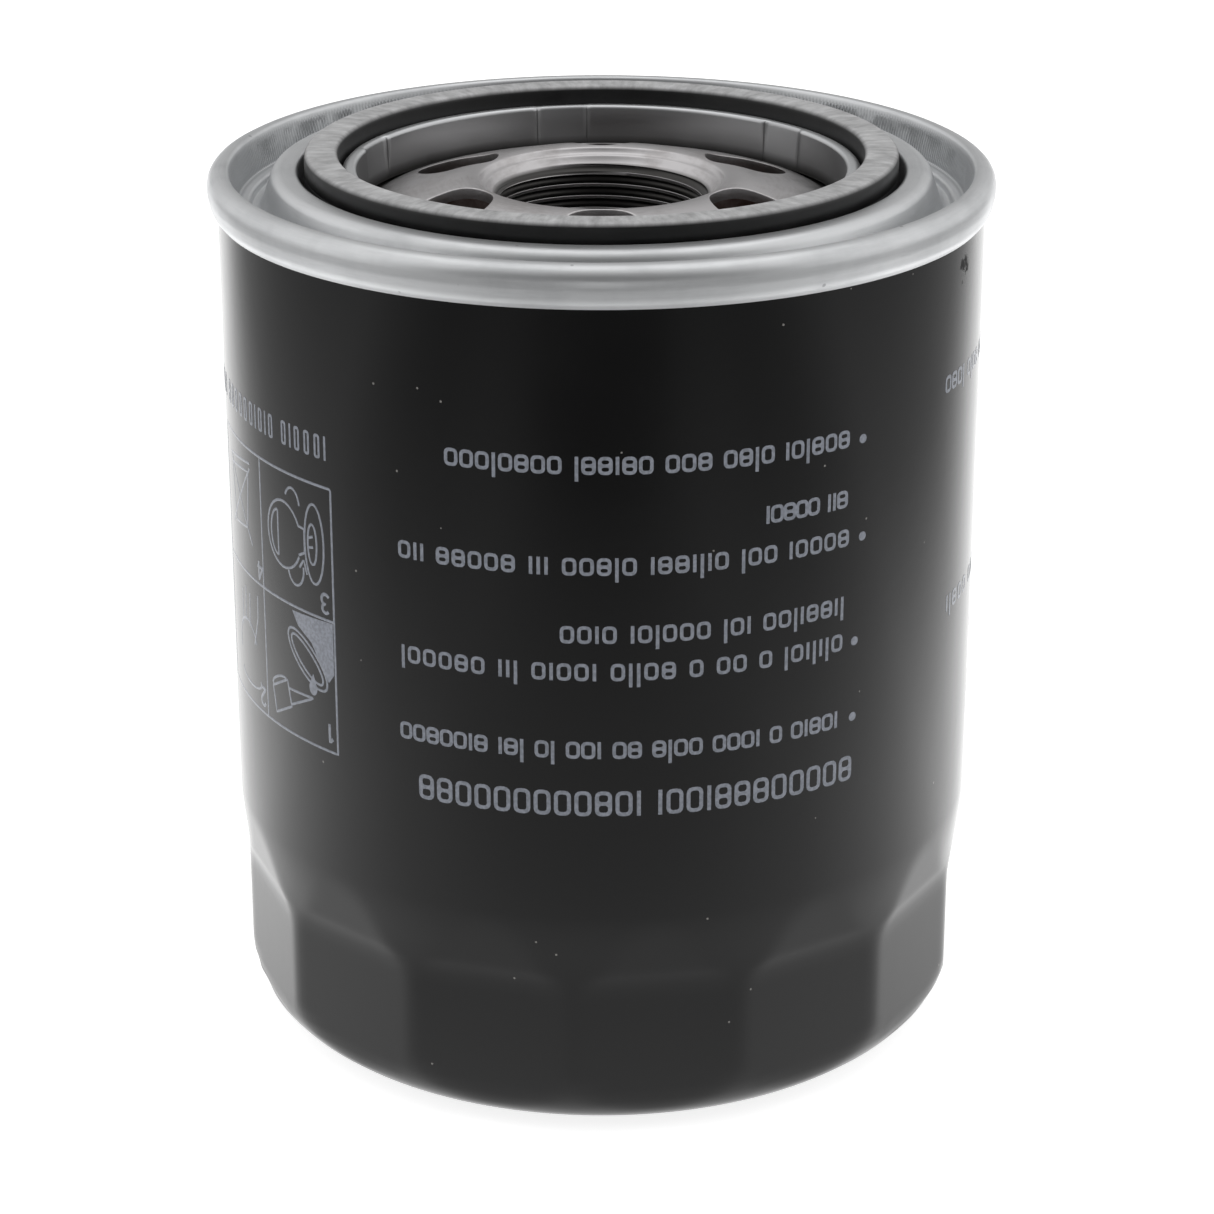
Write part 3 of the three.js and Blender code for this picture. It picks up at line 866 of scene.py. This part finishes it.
turnedPieces = [  # name, outline, material, CAD node, slot, body
    ("seamLining", ringOutline("seam_compound", 44.9, 0.15), compound, "seam_compound", "seam_compound",
     "filter"),
    ("drainBackRubber", valveOutline(), brownRubber, "drainback_valve", "valve_rubber", "drainback_disc"),
    ("drainBackWasher", ringOutline("drainback_washer", 18.6, 0.15), pressed, "drainback_washer",
     "inner_steel", "drainback_disc"),
    ("neckGrommet", grommetOutline(), sealRubber, "element_grommet", "seal_rubber", "filter"),
    ("upperCap", capOutline("top_end_cap", 16.6), pressed, "top_end_cap", "inner_steel", "filter"),
    ("lowerCap", capOutline("bottom_end_cap", 9.5), pressed, "bottom_end_cap", "inner_steel", "filter"),
    ("upperPotting", ringOutline("top_potting", 18.6, 0.3), potting, "top_potting", "potting_resin",
     "filter"),
    ("lowerPotting", ringOutline("bottom_potting", 18.6, 0.3), potting, "bottom_potting", "potting_resin",
     "filter"),
    ("bypassSeat", seatOutline(), pressed, "bypass_seat", "inner_steel", "filter"),
    ("bypassSealRing", ringOutline("bypass_seal", 5.0, 0.2), sealRubber, "bypass_seal", "seal_rubber",
     "bypass_disc"),
    ("bypassPoppet", poppetOutline(), pressed, "bypass_poppet", "inner_steel", "bypass_disc"),
]
for name, outline, material, node, slot, body in turnedPieces:
    addPiece(name, revolved(name, outline, 120), [material], node, body)
print("turned pieces made:", len(turnedPieces))


# springs: wire along a helix whose end turns lie flat

def springTree():
    tree, given = newTree("springWireTree", {"Low Radius": "Float", "High Radius": "Float", "Low": "Float",
                                             "High": "Float", "Turns": "Float", "Wire": "Float",
                                             "End Turns": "Float", "Material": "Material"})
    points = 420
    line = made(tree, "GeometryNodeMeshLine", {"Count": points})
    share = made(tree, "GeometryNodeInputIndex") / (points - 1.0)
    angle = share * given["Turns"] * (2 * math.pi)
    radius = ranged(share, 0.0, 1.0, given["Low Radius"], given["High Radius"])
    flatEnd = given["End Turns"] / given["Turns"] * 0.7
    climb = ranged(share, flatEnd, 1.0 - flatEnd, given["Low"], given["High"], "SMOOTHSTEP")
    place = roundAxis(radius, angle, climb)
    coil = made(tree, "GeometryNodeSetPosition", {"Geometry": line, "Position": place})
    curve = made(tree, "GeometryNodeMeshToCurve", {"Mesh": coil})
    thick = given["Wire"] * 0.5
    section = made(tree, "GeometryNodeCurvePrimitiveCircle", {"Resolution": 12, "Radius": thick})
    rod = {"Curve": curve, "Profile Curve": section, "Fill Caps": True}
    return endTree(made(tree, "GeometryNodeCurveToMesh", rod), given["Material"])


springLooks = {  # radii, wire and turns of each spring; its heights come from its node
    "drainBackSpring": {"node": "drainback_spring", "low": 25.0, "high": 20.5, "wire": 0.7, "turns": 2.6,
                        "ends": 0.4, "squash": ("drainback_lift", 91.9, 0.4)},
    "bypassSpring": {"node": "bypass_spring", "low": 5.2, "high": 5.2, "wire": 1.1, "turns": 6.5,
                     "ends": 1.0, "squash": ("bypass_lift", 34.1, 0.78)},
    "supportSpring": {"node": "support_spring", "low": 23.5, "high": 16.0, "wire": 2.2, "turns": 3.4,
                      "ends": 0.6},
}
springs = springTree()
for name, look in springLooks.items():
    _, bottom, top = span(look["node"])
    half = look["wire"] / 2
    mesh = grown(springs, {"Low Radius": look["low"] * mm, "High Radius": look["high"] * mm,
                           "Low": (bottom + half) * mm, "High": (top - half) * mm, "Turns": look["turns"],
                           "Wire": look["wire"] * mm, "End Turns": look["ends"], "Material": wire})
    spring = addPiece(name, mesh, [wire], look["node"], sharp=60)
    if "squash" in look:  # joint, the end that stays put, and the share left at full lift
        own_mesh(spring)
print("springs made:", len(springLooks))


# the pleated paper: one band whose radius runs in and out round the tube

paperShape = {"pleats": 60, "outer": 37.6, "inner": 19.4, "thickness": 0.55, "perPleat": 20}


def pleatTree():
    tree, given = newTree("pleatTree", {"Pleats": "Int", "Steps": "Int", "Outer": "Float", "Inner": "Float",
                                        "Bottom": "Float", "Top": "Float", "Material": "Material"})
    height = given["Top"] - given["Bottom"]
    band = {"Vertices": given["Pleats"] * given["Steps"], "Radius": 1.0, "Depth": height}
    grid = made(tree, "GeometryNodeMeshCylinder", band, "Mesh", fill_type="NONE")
    x, y, z = separated(made(tree, "GeometryNodeInputPosition"))
    angle = calc("ARCTAN2", y, x)
    sharpness = 0.985  # 1 would give folds without any roundness
    wave = calc("COSINE", angle * given["Pleats"])
    folded = calc("ARCSINE", wave * sharpness) / math.asin(sharpness)
    radius = ranged(folded, -1.0, 1.0, given["Inner"], given["Outer"])
    place = roundAxis(radius, angle, z + (given["Top"] + given["Bottom"]) * 0.5)
    folds = made(tree, "GeometryNodeSetPosition", {"Geometry": grid, "Position": place})
    return endTree(folds, given["Material"])


def paperMesh(look=paperShape):
    _, bottom, top = span("pleated_media")
    host = placed("paperHost", grown(pleatTree(), {
        "Pleats": look["pleats"], "Steps": look["perPleat"], "Outer": look["outer"] * mm,
        "Inner": look["inner"] * mm, "Bottom": bottom * mm, "Top": top * mm, "Material": paperFinish}))
    thick = host.modifiers.new("thick", "SOLIDIFY")
    thick.thickness, thick.offset, thick.use_even_offset = look["thickness"] * mm, 0, False
    return evaluated(host)


addPiece("pleatedPaper", paperMesh(), [paperFinish], "pleated_media", sharp=50)
print("paper made")


# the centre tube: rolled sheet with rows of punched holes

tubeShape = {"inner": 17.6, "rows": 9, "perRow": 14, "hole": 2.1, "turns": 168}


def tubeTree():
    tree, given = newTree("tubeHoles", {"Radius": "Float", "Hole": "Float", "Bottom": "Float", "Top": "Float",
                                        "Rows": "Int", "Per Row": "Int", "Material": "Material"})
    index = made(tree, "GeometryNodeInputIndex")
    row = calc("FLOOR", index / given["Per Row"])
    angle = (index + row * 0.5) / given["Per Row"] * (2 * math.pi)
    height = ranged((row + 1.0) / (given["Rows"] + 1.0), 0.0, 1.0, given["Bottom"], given["Top"])
    place = roundAxis(given["Radius"], angle, height)
    points = made(tree, "GeometryNodePoints", {"Count": given["Rows"] * given["Per Row"], "Position": place})
    punch = made(tree, "GeometryNodeMeshCylinder", {"Vertices": 20, "Radius": given["Hole"], "Depth": 6 * mm})
    lying = combined(0.0, math.pi / 2, angle)
    spread = {"Points": points, "Instance": punch, "Rotation": lying}
    holes = made(tree, "GeometryNodeInstanceOnPoints", spread)
    cutters = made(tree, "GeometryNodeRealizeInstances", {"Geometry": holes})
    both = {"Mesh 1": given["Geometry"], "Mesh 2": cutters}
    punched = made(tree, "GeometryNodeMeshBoolean", both, operation="DIFFERENCE", solver="EXACT")
    return endTree(punched, given["Material"])


def tubeMesh(look=tubeShape):
    radius, bottom, top = span("centre_tube")
    inner = look["inner"]
    section = [(inner, bottom), (radius, bottom), (radius, top), (inner, top)]
    wall = revolved("tubeWall", section, look["turns"])
    return grown(tubeTree(), {"Radius": radius * mm, "Hole": look["hole"] * mm, "Bottom": bottom * mm,
                              "Top": top * mm, "Rows": look["rows"], "Per Row": look["perRow"],
                              "Material": pressed}, wall)


addPiece("centreTube", tubeMesh(), [pressed], "centre_tube")
print("centre tube made")


# the bypass valve's cage and the paper's seam clip

cageShape = {"outer": 13.6, "sheet": 0.6, "guide": 2.8, "window": 11.0}


def boxMesh(low, high, turn=0.0):
    work = bmesh.new()
    bmesh.ops.create_cube(work, size=1)
    size, middle = Vector(high) - Vector(low), (Vector(high) + Vector(low)) / 2
    bmesh.ops.scale(work, vec=size * mm, verts=work.verts)
    bmesh.ops.translate(work, vec=middle * mm, verts=work.verts)
    bmesh.ops.rotate(work, cent=(0, 0, 0), matrix=Matrix.Rotation(turn, 3, "Z"), verts=work.verts)
    mesh = bpy.data.meshes.new("block")
    work.to_mesh(mesh)
    work.free()
    return mesh


def cageMesh(look=cageShape):
    radius, bottom, top = span("bypass_cage")
    path = bent([(radius, bottom + look["sheet"]), (look["outer"], bottom + look["sheet"], 0.6),
                 (look["outer"], top, 1.2), (look["guide"], top)], 5)
    cage = revolved("cage", sheetOutline(path, look["sheet"]), 120)
    half = look["window"] / 2
    low, high = bottom + look["sheet"] + 1.5, top - look["sheet"] - 3
    for turn in (0, math.pi / 2):
        cage = cutAway(cage, boxMesh((-half, -20, low), (half, 20, high), turn))
    return cage


addPiece("bypassCage", cageMesh(), [pressed], "bypass_cage")

clipShape = {"sheet": 0.5, "depth": 5.0}


def clipMesh(look=clipShape):  # a folded strip over one pleat, with rounded folds
    low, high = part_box("media_seam_clip")
    outer, side = high.x / mm, high.y / mm
    path = bent([(outer - look["depth"] - 0.5, -side), (outer, -side, 0.7), (outer, side, 0.7),
                 (outer - look["depth"] - 0.5, side)], 5)
    outline = sheetOutline(path, look["sheet"])
    points = [(p.x * mm, p.y * mm, z) for z in (low.z, high.z) for p in outline]
    count = len(outline)
    faces = [[i, (i + 1) % count, (i + 1) % count + count, i + count] for i in range(count)]
    folds = len(path)
    for i in range(folds - 1):
        mate = count - 1 - i
        faces.append([i + 1, i, mate, mate - 1])
        faces.append([i + count, i + 1 + count, mate - 1 + count, mate + count])
    return tidied(plainMesh("seamClip", points, faces=faces))


addPiece("seamClip", clipMesh(), [pressed], "media_seam_clip")
print("cage and clip made")


# the print: plain marks and plain signs in grey ink, on the unrolled wall

printShape = {"radius": 45.6, "film": 0.03, "line": 0.32, "bold": 0.42}
markLooks = {  # marks as high as small letters, bolder ones for a heading, and narrow ones for a label
    "small": {"width": 1.62, "height": 2.1, "stroke": 0.4, "tall": 0.2, "stem": 0.2, "step": 1.95, "seed": 4,
              "rows": [(37.6, -22.4, 85.4, (6, 4, 3, 6, 8)), (37.4, 23.5, 78.3, (3, 5)),
                       (38.0, -30.1, 73.6, (5, 3, 7, 5, 3, 5, 3)), (37.4, -6.0, 65.5, (8, 3, 6, 4)),
                       (37.3, -30.0, 61.0, (7, 1, 2, 1, 5, 5, 3, 6)),
                       (36.7, -30.3, 51.5, (5, 1, 4, 4, 2, 3, 2, 3, 7)),
                       (128.0, 60.1, 87.2, (7, 3, 9, 5, 4, 4)), (122.0, 84.0, 79.4, (9, 6)),
                       (128.0, 86.0, 71.8, (4, 8, 5)), (122.0, 88.0, 64.6, (3, 10, 3)),
                       (128.0, 63.2, 59.3, (6, 3, 8, 6, 5)), (128.0, 84.0, 50.6, (6, 4, 8))]},
    "heading": {"width": 1.95, "height": 3.1, "stroke": 0.46, "tall": 0.0, "stem": 0.16, "step": 2.3,
                "seed": 9, "rows": [(39.7, -27.5, 45.4, (12, 12)), (128.0, 84.0, 43.4, (7, 8))]},
    "label": {"width": 1.0, "height": 2.9, "stroke": 0.34, "tall": 0.0, "stem": 0.2, "step": 1.5, "seed": 3,
              "rows": [(-42.6, -84.0, 83.6, (6, 10, 3))]},
}


def markPoints(name, looks):  # a point for every mark, with its kind: box, barred box, stem or tall stem
    dice = np.random.default_rng(looks["seed"])
    points, kinds = [], []
    for start, end, height, words in looks["rows"]:
        places, reach = [], 0.0
        for word in words:
            for _ in range(word):
                roll = dice.random()
                stems = looks["tall"] + looks["stem"]
                kind = 3 if roll < looks["tall"] else 2 if roll < stems else int(roll > 0.86)
                step = looks["step"] * (0.45 if kind > 1 else 1)
                places.append((reach + step / 2, kind))
                reach += step
            reach += looks["step"] * 0.6
        fit = (start - end) * degree * printShape["radius"] / (reach - looks["step"] * 0.6)
        for place, kind in places:
            points.append(unrolled(start - place * fit / (printShape["radius"] * degree), height))
            kinds.append(kind)
    mesh = plainMesh(name, points)
    mesh.attributes.new("kind", "INT", "POINT").data.foreach_set("value", kinds)
    return mesh


def unrolled(angle, height):  # a place on the flat print, in metres
    return (angle * degree * printShape["radius"] * mm, height * mm, 0)


def wrapRound(geometry, radius):  # the flat print laid on the can's wall
    x, y, z = separated(made(geometry.tree, "GeometryNodeInputPosition"))
    angle, reach = x / radius, radius + z
    place = combined(reach * calc("SINE", angle), reach * calc("COSINE", angle) * -1.0, y)
    return made(geometry.tree, "GeometryNodeSetPosition", {"Geometry": geometry, "Position": place})


def filmed(faces, film):  # flat faces as a closed film, a third of it under the surface
    push = {"Mesh": faces, "Offset": combined(0.0, 0.0, film), "Offset Scale": 1.0, "Individual": False}
    raised = made(faces.tree, "GeometryNodeExtrudeMesh", push)
    under = made(faces.tree, "GeometryNodeFlipFaces", {0: faces})
    weld = {"Geometry": gathered([raised, under]), "Distance": 0.000002}
    closed = made(faces.tree, "GeometryNodeMergeByDistance", weld)
    sunk = {"Geometry": closed, "Offset": combined(0.0, 0.0, film * -0.33)}
    return made(faces.tree, "GeometryNodeSetPosition", sunk)


def markTree():
    tree, given = newTree("printMarks", {"Width": "Float", "Height": "Float", "Stroke": "Float",
                                         "Radius": "Float", "Film": "Float", "Material": "Material"})
    width, height, stroke = given["Width"], given["Height"], given["Stroke"]
    kind = made(tree, "GeometryNodeInputNamedAttribute", {"Name": "kind"}, data_type="INT")
    inside = width - stroke * 2.0
    clear = height - stroke * 2.0
    half = (clear - stroke) * 0.5
    middle = height * -0.5
    shift = (half + stroke) * 0.5

    def easedBox(wide, high, centre, ease):
        box = made(tree, "GeometryNodeCurvePrimitiveQuadrilateral", {"Width": wide, "Height": high})
        fillet = {"Curve": box, "Count": 3, "Limit Radius": True, "Radius": wide * ease}
        eased = made(tree, "GeometryNodeFilletCurve", fillet, mode="POLY")
        hung = {"Geometry": eased, "Translation": combined(0.0, centre)}
        return made(tree, "GeometryNodeTransform", hung)

    outer = easedBox(width, height, middle, 0.36)
    tall = height * 1.37
    shapes = [
        [outer, easedBox(inside, clear, middle, 0.3)],
        [outer, easedBox(inside, half, middle + shift, 0.3), easedBox(inside, half, middle - shift, 0.3)],
        [easedBox(stroke, height, middle, 0.1)],
        [easedBox(stroke, tall, tall * -0.5, 0.1)],
    ]
    marks = []
    for number, curves in enumerate(shapes):
        face = made(tree, "GeometryNodeFillCurve", {"Curve": gathered(curves)}, mode="TRIANGLES")
        chosen = made(tree, "FunctionNodeCompare", {2: kind, 3: number}, data_type="INT", operation="EQUAL")
        spread = {"Points": given["Geometry"], "Selection": chosen, "Instance": face}
        marks.append(made(tree, "GeometryNodeInstanceOnPoints", spread))
    real = made(tree, "GeometryNodeRealizeInstances", {"Geometry": gathered(marks)})
    return endTree(wrapRound(filmed(real, given["Film"]), given["Radius"]), given["Material"])


def strokeTree():
    tree, given = newTree("printStrokes", {"Width": "Float", "Step": "Float", "Radius": "Float",
                                           "Film": "Float", "Material": "Material"})
    line = made(tree, "GeometryNodeMeshToCurve", {"Mesh": given["Geometry"]})
    fine = made(tree, "GeometryNodeResampleCurve", {"Curve": line, "Length": given["Step"]}, mode="LENGTH")
    pen = made(tree, "GeometryNodeCurvePrimitiveCircle", {"Resolution": 8, "Radius": given["Width"] * 0.5})
    sweep = {"Curve": fine, "Profile Curve": pen, "Fill Caps": True}
    rod = made(tree, "GeometryNodeCurveToMesh", sweep)
    size = combined(1.0, 1.0, given["Film"] / given["Width"] * 1.3)
    flat = made(tree, "GeometryNodeTransform", {"Geometry": rod, "Scale": size})
    return endTree(wrapRound(flat, given["Radius"]), given["Material"])


def patchTree():
    tree, given = newTree("printPatches", {"Radius": "Float", "Film": "Float", "Material": "Material"})
    three = made(tree, "GeometryNodeTriangulate", {"Mesh": given["Geometry"]})
    fine = made(tree, "GeometryNodeSubdivideMesh", {"Mesh": three, "Level": 2})
    return endTree(wrapRound(filmed(fine, given["Film"]), given["Radius"]), given["Material"])


def flatLines(name, lines):
    points, edges = [], []
    for line in lines:
        first = len(points)
        points.extend(unrolled(*p) for p in line)
        edges.extend((first + i, first + i + 1) for i in range(len(line) - 1))
    return plainMesh(name, points, edges)


def flatFaces(name, outlines):
    points, faces = [], []
    for outline in outlines:
        faces.append(list(range(len(points), len(points) + len(outline))))
        points.extend(unrolled(*p) for p in outline)
    return plainMesh(name, points, faces=faces)


panelShape = {"left": -79.0, "middle": -60.6, "right": -42.2, "bottom": 44.7, "centre": 61.2, "top": 77.4}
perDegree = printShape["radius"] * degree  # mm of wall to a degree


def arcLine(angle, height, wide, tall, start=0, end=360, lean=0, steps=28):  # a piece of an ellipse
    points = []
    for turn in np.linspace(start, end, steps) * degree:
        across, up = wide * math.cos(turn), tall * math.sin(turn)
        tilt = lean * degree
        side = across * math.cos(tilt) - up * math.sin(tilt)
        rise = across * math.sin(tilt) + up * math.cos(tilt)
        points.append((angle + side / perDegree, height + rise))
    return points


def panelLines(look=panelShape):
    left, middle, right = look["left"], look["middle"], look["right"]
    bottom, centre, top = look["bottom"], look["centre"], look["top"]
    frameLines = [[(left, bottom), (right, bottom), (right, top), (left, top), (left, bottom)],
                  [(middle, bottom), (middle, top)], [(left, centre), (right, centre)]]
    screwOn = [arcLine(-53.7, 69.6, 3.6, 4.1, 28, 332), arcLine(-55.2, 69.5, 1.6, 2.8, 90, 270),
               [(-55.2, 72.3), (-55.2, 66.7)], arcLine(-46.1, 70.0, 1.7, 4.9), arcLine(-46.5, 69.9, 0.8, 2.5),
               [(-49.8, 71.5), (-48.3, 71.4), (-48.3, 68.5), (-49.8, 67.9)], [(-47.3, 70.6), (-46.3, 70.9)],
               [(-47.3, 69.4), (-46.3, 69.6)], arcLine(-51.2, 73.6, 1.5, 2.2, 150, 10),
               arcLine(-50.7, 66.2, 1.6, 2.2, 200, 370), [(-49.7, 66.4), (-48.6, 67.6), (-47.9, 65.9)]]
    oilRing = [arcLine(-48.7, 55.2, 4.5, 1.9, lean=-39), arcLine(-48.7, 55.2, 3.7, 1.25, lean=-39),
               [(-58.5, 49.4), (-57.6, 46.2), (-53.0, 48.1), (-54.0, 51.3), (-58.5, 49.4)],
               arcLine(-56.3, 50.4, 1.9, 0.7, 20, 200, 22), [(-53.7, 50.3), (-47.3, 50.6), (-53.0, 48.4)]]
    turnSign = [[(-74.2, 73.6), (-72.6, 66.6), (-66.4, 67.2), (-65.4, 74.4), (-74.2, 73.6)],
                [(-75.4, 74.6), (-64.6, 75.6)], [(-74.6, 66.0), (-64.6, 75.0)],
                [(-74.6, 74.6), (-64.4, 65.4)]]
    pushSign = [arcLine(-68.4, 51.6, 3.4, 3.4, 200, 20), [(-71.0, 53.6), (-70.6, 58.4)],
                [(-69.2, 54.6), (-68.8, 59.2)], [(-67.2, 54.4), (-66.8, 58.8)],
                [(-65.2, 52.6), (-63.4, 56.4), (-63.2, 59.4)],
                arcLine(-67.4, 48.0, 3.6, 1.1, 180, 380)]
    return frameLines + screwOn + oilRing + turnSign + pushSign


def stepNumbers():  # plain step numbers 1 to 4, upside down as the print is
    def bow(x, y, radius, start, end):
        return [(x + radius * math.cos(turn), y + radius * math.sin(turn))
                for turn in np.linspace(start, end, 9) * degree]

    strokes = {1: [[(0.05, 0.78), (0.3, 1), (0.3, 0)]],
               2: [bow(0.3, 0.71, 0.28, 165, -35) + [(0, 0), (0.62, 0)]],
               3: [bow(0.29, 0.74, 0.25, 150, -90) + bow(0.29, 0.26, 0.29, 80, -150)],
               4: [[(0.45, 0), (0.45, 1), (0, 0.3), (0.64, 0.3)]]}
    corners = {1: (-43.0, 48.2), 2: (-61.4, 47.9), 3: (-43.1, 64.3), 4: (-60.9, 64.1)}
    size = 2.3
    return [[(corners[digit][0] - x * size / perDegree, corners[digit][1] - y * size) for x, y in line]
            for digit, lines in strokes.items() for line in lines]


def printMesh(look=printShape):
    shared = {"Radius": look["radius"] * mm, "Film": look["film"] * mm, "Material": ink}
    parts = []
    marksTree, strokesTree, patchesTree = markTree(), strokeTree(), patchTree()
    for name, looks in markLooks.items():
        size = {"Width": looks["width"] * mm, "Height": looks["height"] * mm, "Stroke": looks["stroke"] * mm}
        parts.append(grown(marksTree, {**shared, **size}, markPoints(name, looks)))
    thin = {**shared, "Width": look["line"] * mm, "Step": 0.4 * mm}
    parts.append(grown(strokesTree, thin, flatLines("panelLines", panelLines())))
    bold = {**shared, "Width": look["bold"] * mm, "Step": 0.2 * mm}
    parts.append(grown(strokesTree, bold, flatLines("stepNumbers", stepNumbers())))
    places = ((40.0, 83.9), (40.4, 72.2), (39.4, 59.6), (39.4, 50.2), (130.4, 86), (130.4, 58))
    dots = [arcLine(angle, height, 0.55, 0.55, 0, 330, steps=12) for angle, height in places]
    drop = [(-47.2, 53.8)] + arcLine(-47.3, 51.9, 0.75, 0.9, 160, 380, steps=11)
    shade = [(-42.5, 61.0), (-52.0, 60.6), (-50.6, 59.0), (-47.4, 57.6), (-44.6, 54.4), (-43.7, 53.4),
             (-42.5, 54.6)]
    parts.append(grown(patchesTree, shared, flatFaces("patches", [*dots, drop, shade])))
    return joined("canPrint", parts)


addPiece("canPrint", printMesh(), [ink], None)
print("print made")


# stage: a white sweep, soft lights, and cards that only show in the gloss

stageLook = {"half": 4.0, "glow": 0.82, "gloss": 1.62, "top": 1.2}  # metres, the lights' strengths


def card(name, half, height, material):  # a level square
    corners = [(x, y, height) for x, y in ((-half, -half), (half, -half), (half, half), (-half, half))]
    piece = placed(name, plainMesh(name, corners, faces=[[0, 1, 2, 3]]))
    piece.data.materials.append(material)
    return piece


def makeFloor(look=stageLook):  # white from above, clear from below, and not in the gloss
    material, shader, _ = newMaterial("whiteFloor", (0.8, 0.8, 0.8), 0.9)
    tree = material.node_tree
    shader.inputs["Emission Color"].default_value = (1, 1, 1, 1)
    shader.inputs["Emission Strength"].default_value = look["glow"]
    under = made(tree, "ShaderNodeNewGeometry", output="Backfacing")
    clear = made(tree, "ShaderNodeBsdfTransparent")
    white = Value(shader.outputs[0])
    whole = addNode(tree, "ShaderNodeMixShader", {0: under, 1: white, 2: clear})
    tree.links.new(whole.outputs[0], tree.nodes["Material Output"].inputs[0])
    card("floor", look["half"], -0.1 * mm, material).visible_glossy = False


def ramped(value, stops, far):  # a grey ramp over a distance in metres
    ramp = addNode(value.tree, "ShaderNodeValToRGB", {0: value / far})
    elements = ramp.color_ramp.elements
    for i, (where, level) in enumerate(stops):
        element = elements[i] if i < 2 else elements.new(1)
        element.position = where / far
        element.color = (level, level, level, 1)
    return Value(ramp.outputs[0])


def makeSweepGloss(look=stageLook):  # the sweep as the gloss sees it: bright behind, dim elsewhere
    material = bpy.data.materials.new("sweepGloss")
    material.use_nodes = True
    tree = material.node_tree
    tree.nodes.clear()
    x, y, _ = separated(made(tree, "ShaderNodeTexCoord", output="Object"))
    ahead = y + 0.4
    reach = calc("SQRT", x * x + ahead * ahead)
    front = ramped(reach, [(0, 0.03), (1, 1), (0.05, 0.04), (0.115, 0.065), (0.135, 0.1), (0.18, 0.165),
                           (0.226, 0.23), (0.28, 0.29), (0.34, 0.44), (0.388, 0.66), (0.42, 0.84),
                           (0.44, 0.97), (0.5, 1)], 1.0)
    behind = calc("MAXIMUM", y - 0.1, 0.0) * 0.5
    aside = calc("MAXIMUM", calc("ABSOLUTE", x) - behind, 0.0)
    side = ramped(aside, [(0, 1), (0.5, 0.2), (0.12, 1), (0.165, 0.78), (0.205, 0.56), (0.257, 0.37),
                          (0.32, 0.26)], 0.5)
    shine = {"Color": (1, 1, 1, 1), "Strength": front * side * look["gloss"]}
    addNode(tree, "ShaderNodeOutputMaterial", {0: made(tree, "ShaderNodeEmission", shine)})
    sweep = card("sweepGloss", look["half"], -mm, material)
    sweep.visible_camera = sweep.visible_shadow = sweep.visible_diffuse = False


def makeTopLight(look=stageLook):  # a soft box above and behind, aimed at the can
    light = bpy.data.lights.new("topLight", "AREA")
    light.shape, light.size, light.size_y, light.energy = "RECTANGLE", 1.0, 0.8, look["top"]
    lamp = placed("topLight", light)
    lamp.location = (0, 0.25, 1.1)
    lamp.rotation_euler = (Vector((0, 0, 0.1)) - lamp.location).to_track_quat("-Z", "Y").to_euler()
    lamp.visible_camera = False


def makeWorld():  # a light tent: bright above and aside, dim towards the camera, plain white to look at
    world = bpy.data.worlds.new("paleRoom")
    world.use_nodes = True
    tree = world.node_tree
    x, y, z = separated(made(tree, "ShaderNodeTexCoord", output="Generated"))
    level = calc("MAXIMUM", z, 0.0) * 0.4 + 0.22 + calc("ABSOLUTE", x) * 0.68
    shade = ranged(y * -1.0, 0.2, 0.9, 1.0, 0.2, "SMOOTHSTEP")
    seen = made(tree, "ShaderNodeLightPath", output="Is Camera Ray")
    lit = made(tree, "ShaderNodeMix", {0: seen, 2: level * shade, 3: 1.0})
    tree.links.new(lit.socket, tree.nodes["Background"].inputs[1])
    tree.nodes["Background"].inputs[0].default_value = (1, 1, 1, 1)
    bpy.context.scene.world = world


cameraLook = {"place": (0.00065, -0.4048, 0.2090), "pitch": 21.456, "lens": 103.3}


def makeCamera(look=cameraLook):
    lens = bpy.data.cameras.new("camera")
    lens.sensor_width, lens.lens = 36, look["lens"]
    lens.clip_start, lens.clip_end = 0.01, 20
    camera = placed("camera", lens)
    camera.location = look["place"]
    camera.rotation_euler = ((90 - look["pitch"]) * degree, 0, 0)
    bpy.context.scene.camera = camera


makeFloor()
makeSweepGloss()
makeWorld()
makeTopLight()
makeCamera()
bpy.context.scene.view_settings.view_transform = "Standard"
print("stage set")
